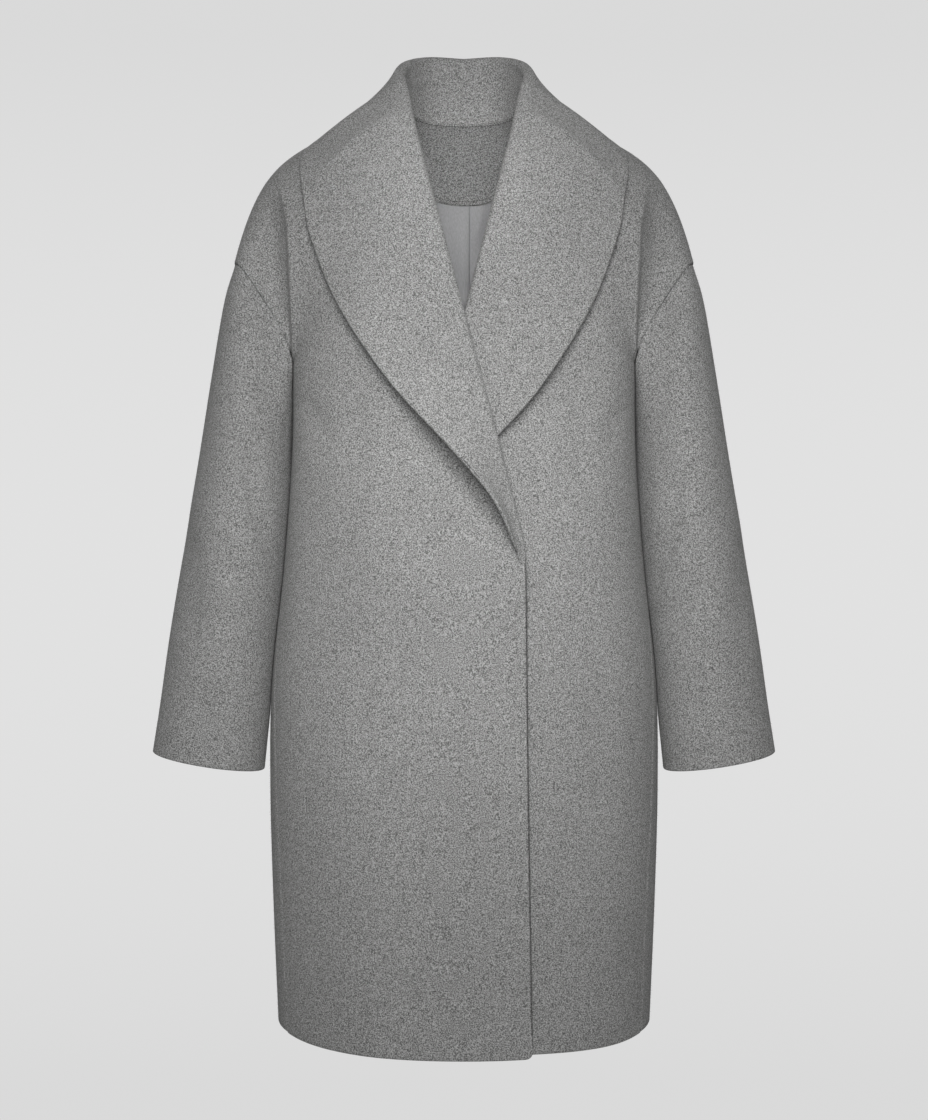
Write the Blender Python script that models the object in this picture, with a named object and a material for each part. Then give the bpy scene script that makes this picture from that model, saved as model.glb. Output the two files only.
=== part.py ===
"""Knee-length wool coat with a wide shawl collar, dropped shoulders and a wrapped front, hollow as worn.

Metres, +Z up. The front faces -Y and the wearer's left is +X.
The origin is the middle of the neck, at the height where the shoulders carry the coat.
"""

import math
from collections import namedtuple

import bmesh
import bpy
from mathutils import Vector

# Cloth thickness and clearances
SHELL_WALL = 0.003
COLLAR_WALL = 0.004
FACING_WALL = 0.0015
LINING_WALL = 0.001
SEAM_GAP = 0.0003
UNDERARM_GAP = 0.0012
PLY_CLEARANCE = 0.0012
RETURN_CLEARANCE = 0.0026

# Where the hem, underarm and shoulders lie
HEM_HEIGHT = -0.970
UNDERARM = Vector((0.181, 0.0, -0.265))
SHOULDER_TIP = Vector((0.248, 0.0, -0.157))
SHOULDER_TOP_HEIGHT = 0.040
SHOULDER_STRAIGHT = 0.5
SHOULDER_ROUND = 10
ARMHOLE_HALF_DEPTH = 0.076
ARMHOLE_CURVE_IN = 0.010
CHEST_SLOPE = 2.5
DOME = 2.2

# Hem, where the right front hangs lower than the left
HEM_DIP_RIGHT = 0.006
HEM_DIP_LEFT = 0.001
HEM_SIDE_RISE = 0.009
HEM_FADE = 6

# Neck opening in the back panel
NECK_HALF_WIDTH = 0.070
NECK_BACK_DROP = 0.295

# Fold that falls from the shoulder to the underarm in front
FOLD_X = 0.182
FOLD_BODY_WIDTH = 0.008
FOLD_SLEEVE_WIDTH = 0.024
FOLD_TOP_HEIGHT = -0.055
FOLD_DEPTH = 0.022

# Turned edge of the collar
ROLL_RADIUS = 0.0047
LAPEL_RETURN = 0.016
PANEL_TUCK = 0.0085
UNDER_LAPEL_LIFT = 0.6

# Where the right front stands forward to lap over the left
LAP_FULL_X = 0.080
LAP_NONE_X = 0.170

# Back neck facing and lining
FACING_HALF_ACROSS = 3 / 13
FACING_LOWER_RISE = 0.575
FACING_UPPER_SHARE = 0.955
FACING_CLEARANCE = 0.0018
LINING_HALF_ACROSS = 0.82
LINING_UPPER_RISE = 0.555
LINING_HEM_UP = 0.035
LINING_CLEARANCE = 0.0024
PLEAT_X = 0.006
PLEAT_WIDTH = 0.014
PLEAT_STEP = 0.0024

# Mesh density
LOWER_ROWS = 17
UPPER_ROWS = 11
FRONT_COLUMNS = 14
BACK_COLUMNS = 26
SLEEVE_RINGS = 14
COLLAR_STATIONS = 27
STAND_STEPS = 3
ROLL_STEPS = 4
FALL_STEPS = 7
FACING_ROWS = 5
FACING_COLUMNS = 12
LINING_ROWS = 14
LINING_COLUMNS = 9

BodyLevel = namedtuple(
    "BodyLevel", "height half_width front_depth back_depth squareness seam_forward"
)
BODY_LEVELS = (
    BodyLevel(-0.970, 0.1980, 0.132, 0.128, 2.15, 0.38),
    BodyLevel(-0.830, 0.2035, 0.135, 0.134, 2.25, 0.37),
    BodyLevel(-0.710, 0.2065, 0.135, 0.138, 2.40, 0.33),
    BodyLevel(-0.600, 0.2045, 0.132, 0.138, 2.70, 0.27),
    BodyLevel(-0.470, 0.1905, 0.126, 0.132, 3.10, 0.17),
    BodyLevel(-0.352, 0.1820, 0.118, 0.124, 3.50, 0.06),
    BodyLevel(-0.265, 0.1810, 0.111, 0.118, 3.60, 0.00),
)

SleeveSection = namedtuple("SleeveSection", "outer_x outer_z inner_x inner_z half_depth middle_y")
SLEEVE_SECTIONS = (
    SleeveSection(0.2480, -0.157, 0.1810, -0.265, 0.076, 0.000),
    SleeveSection(0.2570, -0.205, 0.1842, -0.300, 0.076, 0.000),
    SleeveSection(0.2690, -0.275, 0.1852, -0.350, 0.074, -0.001),
    SleeveSection(0.2840, -0.370, 0.1895, -0.420, 0.070, -0.003),
    SleeveSection(0.2990, -0.460, 0.1970, -0.495, 0.065, -0.006),
    SleeveSection(0.3130, -0.550, 0.2065, -0.575, 0.059, -0.010),
    SleeveSection(0.3225, -0.620, 0.2115, -0.640, 0.053, -0.013),
    SleeveSection(0.3305, -0.673, 0.2140, -0.692, 0.049, -0.016),
)
CUFF_DIP = 0.002

NeckSection = namedtuple(
    "NeckSection", "roll_x roll_y roll_z edge_x edge_y edge_z base_x base_y base_z fall_bulge"
)
NECK_SECTIONS = (
    NeckSection(0.0000, 0.062, 0.080, 0.000, 0.096, -0.028, 0.0000, 0.0500, 0.004, 0.012),
    NeckSection(0.0360, 0.053, 0.080, 0.066, 0.092, -0.032, 0.0340, 0.0430, 0.005, 0.012),
    NeckSection(0.0570, 0.027, 0.070, 0.124, 0.071, -0.034, 0.0560, 0.0220, 0.007, 0.006),
    NeckSection(0.0630, -0.003, 0.053, 0.165, 0.010, -0.022, 0.0630, 0.0000, 0.005, -0.013),
    NeckSection(0.0615, -0.017, 0.040, 0.172, -0.021, -0.031, 0.0630, -0.0140, 0.003, -0.008),
    NeckSection(0.0585, -0.030, 0.024, 0.172, -0.050, -0.052, 0.0615, -0.0270, 0.000, 0.011),
)

LapelSection = namedtuple("LapelSection", "roll_x roll_z edge_x edge_z edge_lift fall_bulge")
LAPEL_SECTIONS = (
    LapelSection(0.0520, -0.007, 0.1660, -0.097, 0.008, 0.010),
    LapelSection(0.0435, -0.044, 0.1580, -0.138, 0.007, 0.007),
    LapelSection(0.0250, -0.118, 0.1280, -0.211, 0.007, 0.005),
    LapelSection(0.0000, -0.215, 0.0760, -0.290, 0.008, 0.003),
    LapelSection(-0.0270, -0.315, 0.0160, -0.356, 0.010, 0.003),
    LapelSection(-0.0500, -0.407, -0.0310, -0.411, 0.010, 0.003),
    LapelSection(-0.0595, -0.453, -0.0470, -0.456, 0.006, 0.002),
)

FrontEdge = namedtuple("FrontEdge", "height x")
FRONT_EDGE = (
    FrontEdge(-0.970, -0.0700),
    FrontEdge(-0.720, -0.0660),
    FrontEdge(-0.520, -0.0638),
    FrontEdge(-0.482, -0.0610),
    FrontEdge(-0.456, -0.0505),
)

LapLift = namedtuple("LapLift", "height forward")
LAP_LIFT = (
    LapLift(-0.970, 0.0048),
    LapLift(-0.600, 0.0052),
    LapLift(-0.440, 0.0175),
    LapLift(-0.210, 0.0175),
    LapLift(-0.030, 0.0000),
)

Finish = namedtuple("Finish", "colour roughness")
WOOL = Finish((0.28, 0.28, 0.28, 1.0), 0.95)
SATIN = Finish((0.19, 0.19, 0.195, 1.0), 0.45)


def column(table, name):
    """One named column of a table."""
    return [getattr(row, name) for row in table]


def mix(a, b, share):
    return a + (b - a) * share


def ease(low, high, at):
    """0 up to low, 1 from high, smooth between."""
    t = min(1.0, max(0.0, (at - low) / (high - low)))
    return t * t * (3 - 2 * t)


def power(value, exponent):
    """A power that keeps the sign."""
    return math.copysign(abs(value) ** exponent, value)


def span_of(places, at):
    """Index of the pair of rising places around a value."""
    return next(k for k in range(len(places) - 1) if at <= places[k + 1])


def through(places, values, at):
    """Smooth curve through the values at rising places, level beyond its ends."""
    last = len(places) - 1
    at = min(places[last], max(places[0], at))
    i = span_of(places, at)

    def slope(k):
        low, high = max(k - 1, 0), min(k + 1, last)
        return (values[high] - values[low]) / (places[high] - places[low])

    span = places[i + 1] - places[i]
    t = (at - places[i]) / span
    ends = values[i] * (1 + 2 * t) * (1 - t) ** 2 + values[i + 1] * t * t * (3 - 2 * t)
    return ends + span * (slope(i) * t * (1 - t) ** 2 - slope(i + 1) * t * t * (1 - t))


def stepped(places, values, at):
    """Values at rising places, eased from one to the next and never beyond them."""
    at = min(places[-1], max(places[0], at))
    i = span_of(places, at)
    return mix(values[i], values[i + 1], ease(places[i], places[i + 1], at))


def body(name, height):
    """A measure of the body at a height."""
    return through(column(BODY_LEVELS, "height"), column(BODY_LEVELS, name), height)


def ring_point(angle, height):
    """Outside of the lower body: angle 0 at the front's middle, a quarter turn at the side."""
    bend = 2 / body("squareness", height)
    depth = body("front_depth" if math.cos(angle) > 0 else "back_depth", height)
    x = body("half_width", height) * power(math.sin(angle), bend)
    return Vector((x, -depth * power(math.cos(angle), bend), height))


def side_raised(point, up):
    """The hem curls up a little at each side."""
    side = (abs(point.x) / body("half_width", mix(HEM_HEIGHT, UNDERARM.z, up))) ** 8
    point.z += HEM_SIDE_RISE * side * (1 - up) ** HEM_FADE
    return point


def armhole_curve(turn):
    """How the armhole seam curves in towards the neck."""
    along = SHOULDER_TIP - UNDERARM
    towards_neck = Vector((-along.z, 0, along.x)).normalized()
    return towards_neck * ARMHOLE_CURVE_IN * math.sin(turn)


def armhole_point(turn, face):
    """The armhole seam: turn 0 at the shoulder tip, pi at the underarm. face is -1 in front, 1 behind."""
    middle = (SHOULDER_TIP + UNDERARM) / 2
    point = middle + (SHOULDER_TIP - UNDERARM) / 2 * math.cos(turn) + armhole_curve(turn)
    point.y = face * ARMHOLE_HALF_DEPTH * math.sin(turn)
    return point


def middle_height(rise):
    """Height of the upper body's middle line: rise 0 at the underarm, 1 at the shoulder seam."""
    return mix(UNDERARM.z, SHOULDER_TOP_HEIGHT, math.sin(rise * math.pi / 2) ** (2 / DOME))


def upper_point(out, rise, face):
    """Outside of the upper body: out 0 at the middle, 1 at the armhole."""
    end = armhole_point(math.pi * (1 - rise), face)
    depth = body("front_depth" if face < 0 else "back_depth", UNDERARM.z)
    middle_y = face * depth * max(0.0, math.cos(rise * math.pi / 2)) ** (2 / DOME)
    middle_z = middle_height(rise)
    share = min(1.0, abs(out))
    square = body("squareness", UNDERARM.z)
    inward = mix((1 - share**square) ** (1 / square), 1 - share**4, ease(0.15, 0.6, rise))
    shoulder = SHOULDER_STRAIGHT * share + (1 - SHOULDER_STRAIGHT) * share**SHOULDER_ROUND
    drop = mix(share**CHEST_SLOPE, shoulder, rise * rise)
    return Vector((end.x * out, mix(end.y, middle_y, inward), mix(middle_z, end.z, drop)))


def spread(start, across, rise):
    """Share of the half width for a column: even round the ring at the underarm, even in width above."""
    bend = 2 / body("squareness", UNDERARM.z)
    angle = math.asin(power(start, 1 / bend))
    round_share = power(math.sin(mix(angle, math.pi / 2, across)), bend)
    return mix(round_share, mix(start, 1.0, across), ease(0, 0.5, rise))


def fold_depth(x, z):
    """How far the fold below the shoulder sinks into the front."""
    width = FOLD_BODY_WIDTH if x < FOLD_X else FOLD_SLEEVE_WIDTH
    deep = FOLD_DEPTH * (1 - ease(UNDERARM.z, FOLD_TOP_HEIGHT, z))
    return deep * math.exp(-(((x - FOLD_X) / width) ** 2))


def front_edge(height):
    """Where the left front's own edge lies: free below the break of the lapel, tucked into the collar above it."""
    rows = [row for row in reversed(LAPEL_SECTIONS) if row.roll_z > -0.42]
    neck = NECK_SECTIONS[-1:-3:-1]
    places = column(FRONT_EDGE, "height") + column(rows, "roll_z") + column(neck, "roll_z")
    tucked = [x + PANEL_TUCK for x in column(rows, "roll_x") + column(neck, "roll_x")]
    return through(places, column(FRONT_EDGE, "x") + tucked, height)


def front_point(across, up, dip=HEM_DIP_LEFT):
    """Outside of the left front: up 0 at the hem, 1 at the underarm, 2 at the shoulder; across 1 at the side."""
    if up > 1:
        rise = up - 1
        start = front_edge(middle_height(rise)) / armhole_point(math.pi * (1 - rise), -1).x
        out = spread(start, across, rise)
        point = upper_point(out, rise, -1)
        point.y += fold_depth(point.x, point.z) * (1 - abs(out) ** 8) * ease(0, 0.3, rise)
        return point
    height = mix(HEM_HEIGHT, UNDERARM.z, up)
    bend = 2 / body("squareness", height)
    start = math.asin(power(front_edge(height) / body("half_width", height), 1 / bend))
    point = ring_point(mix(start, math.pi / 2 - body("seam_forward", height), across), height)
    middle = 1 - (point.x / body("half_width", height)) ** 2
    point.z -= dip * middle * (1 - up) ** HEM_FADE
    return side_raised(point, up)


def back_point(across, up):
    """Outside of the back, from the right side (across -1) to the left (across 1)."""
    if up > 1:
        rise = up - 1
        out = math.copysign(spread(0.0, abs(across), rise), across)
        neck = min(1.0, abs(out) * armhole_point(0, 1).x / NECK_HALF_WIDTH)
        return upper_point(out, rise * (1 - NECK_BACK_DROP * math.sqrt(1 - neck * neck)), 1)
    height = mix(HEM_HEIGHT, UNDERARM.z, up)
    angle = math.pi - across * (math.pi / 2 + body("seam_forward", height))
    return side_raised(ring_point(angle, height), up)


def front_depth(x, z):
    """How far forward the left front's outside lies at a place seen from the front."""
    if z <= UNDERARM.z:
        square = body("squareness", z)
        share = min(1.0, abs(x) / body("half_width", z))
        return body("front_depth", z) * (1 - share**square) ** (1 / square)
    low, high = 0.0, 1.0
    for _ in range(24):
        rise = (low + high) / 2
        point = upper_point(x / armhole_point(math.pi * (1 - rise), -1).x, rise, -1)
        low, high = (rise, high) if point.z < z else (low, rise)
    return -point.y


def sleeve_point(turn, along, face):
    """Outside of the left sleeve: along 0 at the armhole, 1 at the cuff; turn 0 on its outer side."""
    places = [k / (len(SLEEVE_SECTIONS) - 1) for k in range(len(SLEEVE_SECTIONS))]
    size = SleeveSection(
        *(through(places, column(SLEEVE_SECTIONS, name), along) for name in SleeveSection._fields)
    )
    outer = Vector((size.outer_x, 0, size.outer_z))
    inner = Vector((size.inner_x, 0, size.inner_z))
    point = (outer + inner) / 2 + (outer - inner) / 2 * math.cos(turn)
    point += armhole_curve(turn) * (1 - ease(0, 0.35, along))
    point.y = size.middle_y + face * size.half_depth * math.sin(turn)
    if face < 0:
        point.z -= CUFF_DIP * math.sin(turn) * ease(0.8, 1, along)
    return point


def inward_at(surface, u, v, lowest, highest):
    """Unit normal of a surface at (u, v), from its slopes inside the given range."""
    step = 2e-3
    u0, u1 = max(lowest[0], u - step), min(highest[0], u + step)
    v0, v1 = max(lowest[1], v - step), min(highest[1], v + step)
    return (surface(u0, v) - surface(u1, v)).cross(surface(u, v1) - surface(u, v0)).normalized()


def front_inward(across, up):
    if up > 1:
        return inward_at(front_point, across, up, (0, 1.0005), (1, 2))
    return inward_at(front_point, across, up, (0, 0), (1, 1))


def back_inward(across, up):
    low = 1.0005 if up > 1 else 0
    return -inward_at(back_point, across, up, (-1, low), (1, 2 if up > 1 else 1))


def sleeve_inward(turn, along, face):
    normal = inward_at(lambda u, v: sleeve_point(u, v, face), turn, along, (-1, 0), (4, 1))
    return normal if face < 0 else -normal


def seam_inward(turn, face):
    """Wall directions of the body and of the sleeve where they meet: one direction over the shoulder."""
    up = 2 - turn / math.pi
    own_body = front_inward(1, up) if face < 0 else back_inward(1, up)
    own_sleeve = sleeve_inward(turn, 0, face)
    shared = (own_body + own_sleeve).normalized()
    own = ease(0.5 * math.pi, 0.75 * math.pi, turn)
    return (
        mix(shared, own_body, own).normalized(),
        mix(shared, own_sleeve, own).normalized(),
    )


def mirrored(point):
    return Vector((-point.x, point.y, point.z))


def lapped(point):
    """The same place on the right side, moved forward where the right front laps over the left."""
    share = 1 - ease(LAP_FULL_X, LAP_NONE_X, point.x)
    forward = stepped(column(LAP_LIFT, "height"), column(LAP_LIFT, "forward"), point.z)
    return Vector((-point.x, point.y - forward * share, point.z))


def panel_rows():
    """Heights of a body panel's rows, denser above the underarm."""
    return [k / LOWER_ROWS for k in range(LOWER_ROWS)] + [
        1 + k / UPPER_ROWS for k in range(UPPER_ROWS + 1)
    ]


def front_grids(dip):
    """Outside and inside of the left front."""
    outside, inside = [], []
    for up in panel_rows():
        outer, inner = [], []
        for k in range(FRONT_COLUMNS + 1):
            across = k / FRONT_COLUMNS
            point = front_point(across, up, dip)
            inward = front_inward(across, up)
            if across == 1 and up >= 1:
                inward = seam_inward(math.pi * (2 - up), -1)[0]
            if across == 1:
                point.y -= SEAM_GAP / 2
            if up == 2:
                point.y = -SEAM_GAP / 2
                inward.y = 0
                inward.normalize()
            outer.append(point)
            inner.append(point + inward * SHELL_WALL)
        outside.append(outer)
        inside.append(inner)
    return outside, inside


def back_grids():
    """Outside and inside of the back."""
    outside, inside = [], []
    for up in panel_rows():
        outer, inner = [], []
        for k in range(BACK_COLUMNS + 1):
            across = 2 * k / BACK_COLUMNS - 1
            point = back_point(across, up)
            inward = back_inward(across, up)
            if abs(across) == 1 and up >= 1:
                inward = seam_inward(math.pi * (2 - up), 1)[0]
                inward.x = math.copysign(inward.x, -across) if up == 1 else inward.x * across
            if abs(across) == 1:
                point.y += SEAM_GAP / 2
            if up == 2 and abs(point.x) >= NECK_HALF_WIDTH:
                point.y = SEAM_GAP / 2
                inward.y = 0
                inward.normalize()
            outer.append(point)
            inner.append(point + inward * SHELL_WALL)
        outside.append(outer)
        inside.append(inner)
    return outside, inside


def sleeve_grids():
    """Outside and inside of the left sleeve, rings from the armhole to the cuff."""
    turns = [(math.pi * k / UPPER_ROWS, -1) for k in range(UPPER_ROWS + 1)]
    turns += [(math.pi * k / UPPER_ROWS, 1) for k in range(UPPER_ROWS - 1, 0, -1)]
    along_seam = (SHOULDER_TIP - UNDERARM).normalized()
    away = Vector((along_seam.z, 0, -along_seam.x))
    outside, inside = [], []
    for ring in range(SLEEVE_RINGS + 1):
        along = ring / SLEEVE_RINGS
        outer, inner = [], []
        for turn, face in turns:
            point = sleeve_point(turn, along, face)
            inward = sleeve_inward(turn, along, face)
            if ring == 0:
                point += away * SEAM_GAP
                point.x += UNDERARM_GAP * ease(0.5 * math.pi, math.pi, turn)
                inward = seam_inward(turn, face)[1]
            outer.append(point)
            inner.append(point + inward * SHELL_WALL)
        outside.append(outer)
        inside.append(inner)
    return outside, inside


def collar_guides():
    """Roll, edge, base and aim points of every collar section, from the middle back to the break."""
    guides = []
    for row in NECK_SECTIONS:
        roll = Vector((row.roll_x, row.roll_y, row.roll_z))
        edge = Vector((row.edge_x, row.edge_y, row.edge_z))
        base = Vector((row.base_x, row.base_y, row.base_z))
        guides.append((roll, edge, base, (edge + base) / 2))
    for row in LAPEL_SECTIONS:
        guides.append(lapel_guide(row.roll_x, row.roll_z, row.edge_x, row.edge_z, row.edge_lift))
    return guides


def lapel_guide(roll_x, roll_z, edge_x, edge_z, edge_lift):
    """The same four points of a section that lies on the front, which it holds between its two legs."""
    roll = Vector((roll_x, 0, roll_z))
    edge = Vector((edge_x, 0, edge_z))
    base = roll + (edge - roll).normalized() * min(LAPEL_RETURN, (edge - roll).length)
    aim = base.copy()
    roll.y = -front_depth(roll.x, roll.z) + SHELL_WALL / 2
    edge.y = -front_depth(edge.x, edge.z) - edge_lift
    base.y = -front_depth(base.x, base.z) + SHELL_WALL + RETURN_CLEARANCE + COLLAR_WALL / 2
    aim.y = -front_depth(aim.x, aim.z) + SHELL_WALL / 2
    return roll, edge, base, aim


def collar_section(guides, t, loose):
    """Points across the middle of the collar's wall: up the stand, round the roll and down the fall.

    loose is how much of its lift the fall keeps: 1 on the outer lapel, less on the one pressed under it.
    """
    places = list(range(len(guides)))
    lapels = len(NECK_SECTIONS)

    def guide(which, at):
        return Vector(
            tuple(through(places, [row[which][axis] for row in guides], at) for axis in range(3))
        )

    roll, edge, base, aim = (guide(which, t) for which in range(4))
    press = mix(1, loose, ease(lapels, lapels + 3, t))
    if t >= lapels:
        lift = through(places[lapels:], column(LAPEL_SECTIONS, "edge_lift"), t)
        roll, edge, base, aim = lapel_guide(roll.x, roll.z, edge.x, edge.z, lift * press)
    tangent = (guide(0, t + 0.05) - guide(0, t - 0.05)).normalized()
    if t < 0.05:
        tangent = Vector((1, 0, 0))
    top = roll - aim
    top = (top - tangent * top.dot(tangent)).normalized()
    out = top.cross(tangent).normalized()
    centre = roll - top * (ROLL_RADIUS + COLLAR_WALL / 2)
    start = centre - out * ROLL_RADIUS
    finish = centre + out * ROLL_RADIUS
    points = [base.lerp(start, k / STAND_STEPS) for k in range(STAND_STEPS)]
    for k in range(ROLL_STEPS + 1):
        angle = math.pi * k / ROLL_STEPS
        points.append(centre + (top * math.sin(angle) - out * math.cos(angle)) * ROLL_RADIUS)
    bulges = column(NECK_SECTIONS, "fall_bulge") + column(LAPEL_SECTIONS, "fall_bulge")
    bulge = through(places, bulges, t) * press
    control = finish - top * 0.4 * (edge - finish).length + out * bulge
    rests = ease(lapels - 1.7, lapels - 1.1, t)
    for k in range(1, FALL_STEPS + 1):
        w = k / FALL_STEPS
        point = finish * (1 - w) ** 2 + control * 2 * w * (1 - w) + edge * w * w
        clear = -front_depth(point.x, point.z) - PLY_CLEARANCE - COLLAR_WALL / 2
        point.y = mix(point.y, min(point.y, clear), rests)
        points.append(point)
    return points


def collar_grids():
    """Outside and inside of the whole collar, from the right break round the neck to the left break."""
    guides = collar_guides()
    stations = [(len(guides) - 1) * k / COLLAR_STATIONS for k in range(COLLAR_STATIONS + 1)]
    left = [collar_section(guides, t, UNDER_LAPEL_LIFT) for t in stations]
    right = [collar_section(guides, t, 1) for t in reversed(stations[1:])]
    rows = [[lapped(point) for point in row] for row in right] + left
    outside, inside = [], []
    for i, row in enumerate(rows):
        before, after = rows[max(i - 1, 0)], rows[min(i + 1, len(rows) - 1)]
        outer, inner = [], []
        for j, point in enumerate(row):
            along = after[j] - before[j]
            over = row[min(j + 1, len(row) - 1)] - row[max(j - 1, 0)]
            normal = over.cross(along).normalized() * COLLAR_WALL / 2
            outer.append(point + normal)
            inner.append(point - normal)
        outside.append(outer)
        inside.append(inner)
    return outside, inside


def facing_grids():
    """Outside and inside of the facing that lies inside the back neck."""
    outside, inside = [], []
    for i in range(FACING_ROWS + 1):
        outer, inner = [], []
        for k in range(FACING_COLUMNS + 1):
            across = FACING_HALF_ACROSS * (2 * k / FACING_COLUMNS - 1)
            up = 1 + mix(FACING_LOWER_RISE, FACING_UPPER_SHARE, i / FACING_ROWS)
            point = back_point(across, up)
            inward = back_inward(across, up)
            outer.append(point + inward * (SHELL_WALL + FACING_CLEARANCE))
            inner.append(outer[-1] + inward * FACING_WALL)
        outside.append(outer)
        inside.append(inner)
    return outside, inside


def lining_columns():
    """Columns of the lining: across, sideways shift and how far it stands off the back, with the pleat's Z fold."""
    half = [k / LINING_COLUMNS for k in range(1, LINING_COLUMNS + 1)]
    left = [(-LINING_HALF_ACROSS * share, 0, 0) for share in reversed(half)]
    right = [(LINING_HALF_ACROSS * share, 0, 0) for share in half]
    fold = [
        (0, PLEAT_X - PLEAT_WIDTH, 2 * PLEAT_STEP),
        (0, PLEAT_X - 0.001, 2 * PLEAT_STEP),
        (0, PLEAT_X, 1.5 * PLEAT_STEP),
        (0, PLEAT_X - 0.001, PLEAT_STEP),
        (0, PLEAT_X - PLEAT_WIDTH + 0.001, PLEAT_STEP),
        (0, PLEAT_X - PLEAT_WIDTH, 0.5 * PLEAT_STEP),
        (0, PLEAT_X - PLEAT_WIDTH + 0.001, 0),
        (0, PLEAT_X, 0),
    ]
    return left + fold + right


def lining_grids():
    """Outside and inside of the back lining, from its hem to the facing."""
    low = LINING_HEM_UP / (UNDERARM.z - HEM_HEIGHT)
    outside, inside = [], []
    for i in range(LINING_ROWS + 1):
        up = mix(low, 1 + LINING_UPPER_RISE, i / LINING_ROWS)
        row = []
        for across, shift, stand_off in lining_columns():
            point = back_point(across, up)
            point += back_inward(across, up) * (SHELL_WALL + LINING_CLEARANCE + stand_off)
            point.x += shift
            row.append(point)
        outer, inner = [], []
        for j, point in enumerate(row):
            over = row[min(j + 1, len(row) - 1)] - row[max(j - 1, 0)]
            inward = Vector((over.y, -over.x, 0)).normalized()
            outer.append(point)
            inner.append(point + inward * LINING_WALL)
        outside.append(outer)
        inside.append(inner)
    return outside, inside


def cloth(name, grids, finish, ring=False):
    """A wall of cloth between two grids of points, as a named object. ring joins each row's ends."""
    bm = bmesh.new()
    outside, inside = ([[bm.verts.new(point) for point in row] for row in grid] for grid in grids)
    rows, columns = len(outside), len(outside[0])
    spans = columns if ring else columns - 1
    for i in range(rows - 1):
        for j in range(spans):
            k = (j + 1) % columns
            bm.faces.new((outside[i][j], outside[i][k], outside[i + 1][k], outside[i + 1][j]))
            bm.faces.new((inside[i][j], inside[i + 1][j], inside[i + 1][k], inside[i][k]))
    for j in range(spans):
        k = (j + 1) % columns
        bm.faces.new((outside[0][j], inside[0][j], inside[0][k], outside[0][k]))
        bm.faces.new((outside[-1][j], outside[-1][k], inside[-1][k], inside[-1][j]))
    if not ring:
        for i in range(rows - 1):
            bm.faces.new((outside[i][0], outside[i + 1][0], inside[i + 1][0], inside[i][0]))
            bm.faces.new((outside[i][-1], inside[i][-1], inside[i + 1][-1], outside[i + 1][-1]))
    bmesh.ops.recalc_face_normals(bm, faces=bm.faces)
    mesh = bpy.data.meshes.new(name)
    bm.to_mesh(mesh)
    bm.free()
    material = bpy.data.materials.new(name)
    material.use_nodes = True
    shader = material.node_tree.nodes["Principled BSDF"]
    shader.inputs["Base Color"].default_value = finish.colour
    shader.inputs["Roughness"].default_value = finish.roughness
    mesh.materials.append(material)
    bpy.context.collection.objects.link(bpy.data.objects.new(name, mesh))


def moved(grids, move):
    """The same grids with every point moved."""
    return [[[move(point) for point in row] for row in grid] for grid in grids]


def main():
    for old in list(bpy.data.objects):
        bpy.data.objects.remove(old)
    cloth("back", back_grids(), WOOL)
    cloth("front_left", front_grids(HEM_DIP_LEFT), WOOL)
    cloth("front_right", moved(front_grids(HEM_DIP_RIGHT), lapped), WOOL)
    cloth("sleeve_left", sleeve_grids(), WOOL, ring=True)
    cloth("sleeve_right", moved(sleeve_grids(), mirrored), WOOL, ring=True)
    cloth("shawl_collar", collar_grids(), WOOL)
    cloth("back_neck_facing", facing_grids(), WOOL)
    cloth("back_lining", lining_grids(), SATIN)


if __name__ == "__main__":
    main()
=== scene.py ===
"""Winter coat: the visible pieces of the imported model, with their finishes, light and camera.

Metres, +Z up. The front faces -Y and the wearer's left is +X.
"""

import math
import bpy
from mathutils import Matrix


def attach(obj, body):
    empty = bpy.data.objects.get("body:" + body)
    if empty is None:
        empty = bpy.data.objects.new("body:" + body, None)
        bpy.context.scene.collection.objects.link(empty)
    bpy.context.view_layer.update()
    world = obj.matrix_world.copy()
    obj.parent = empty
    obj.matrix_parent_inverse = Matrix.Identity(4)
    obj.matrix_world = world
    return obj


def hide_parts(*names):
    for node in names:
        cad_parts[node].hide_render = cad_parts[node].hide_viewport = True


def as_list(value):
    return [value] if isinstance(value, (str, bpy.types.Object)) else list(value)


bl_info = {
    "name": "Wool Wrap Coat",
    "version": (1, 0, 0),
    "blender": (4, 5, 0),
    "location": "3D View > Sidebar > Coat",
    "description": "Builds a knee-length melange wool coat with a shawl collar on its packed model",
    "category": "Object",
}

from collections import namedtuple

import bpy
import numpy as np

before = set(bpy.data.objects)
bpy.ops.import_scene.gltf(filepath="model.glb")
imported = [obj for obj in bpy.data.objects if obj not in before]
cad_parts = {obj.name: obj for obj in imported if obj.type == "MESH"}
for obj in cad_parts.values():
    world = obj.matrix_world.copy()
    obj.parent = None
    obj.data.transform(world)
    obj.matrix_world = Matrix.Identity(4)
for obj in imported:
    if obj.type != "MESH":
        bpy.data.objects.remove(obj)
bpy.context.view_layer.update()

# Where the hem, underarm and shoulder lie, on the left side
HEM_HEIGHT = -0.970
UNDERARM = np.array((0.181, 0.0, -0.265))
SHOULDER_TIP = np.array((0.2445, 0.0, -0.157))
SHOULDER_TOP_HEIGHT = 0.040

# How the shoulders, chest and armholes are rounded
SHOULDER_STRAIGHT = 0.5
SHOULDER_ROUND = 10
SHOULDER_DEPTH_ROUND = 4
CHEST_TO_SHOULDER = (0.15, 0.6)
CHEST_SLOPE = 2.5
SIDE_JOIN = 4
SIDE_REACH = 8
DOME = 2.2
EVEN_WIDTH_RISE = 0.5
ARMHOLE_HALF_DEPTH = 0.076
ARMHOLE_CURVE_IN = 0.010
ARMHOLE_BEND = 0.42
ARMHOLE_TOP_BEND = 0.47

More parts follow.
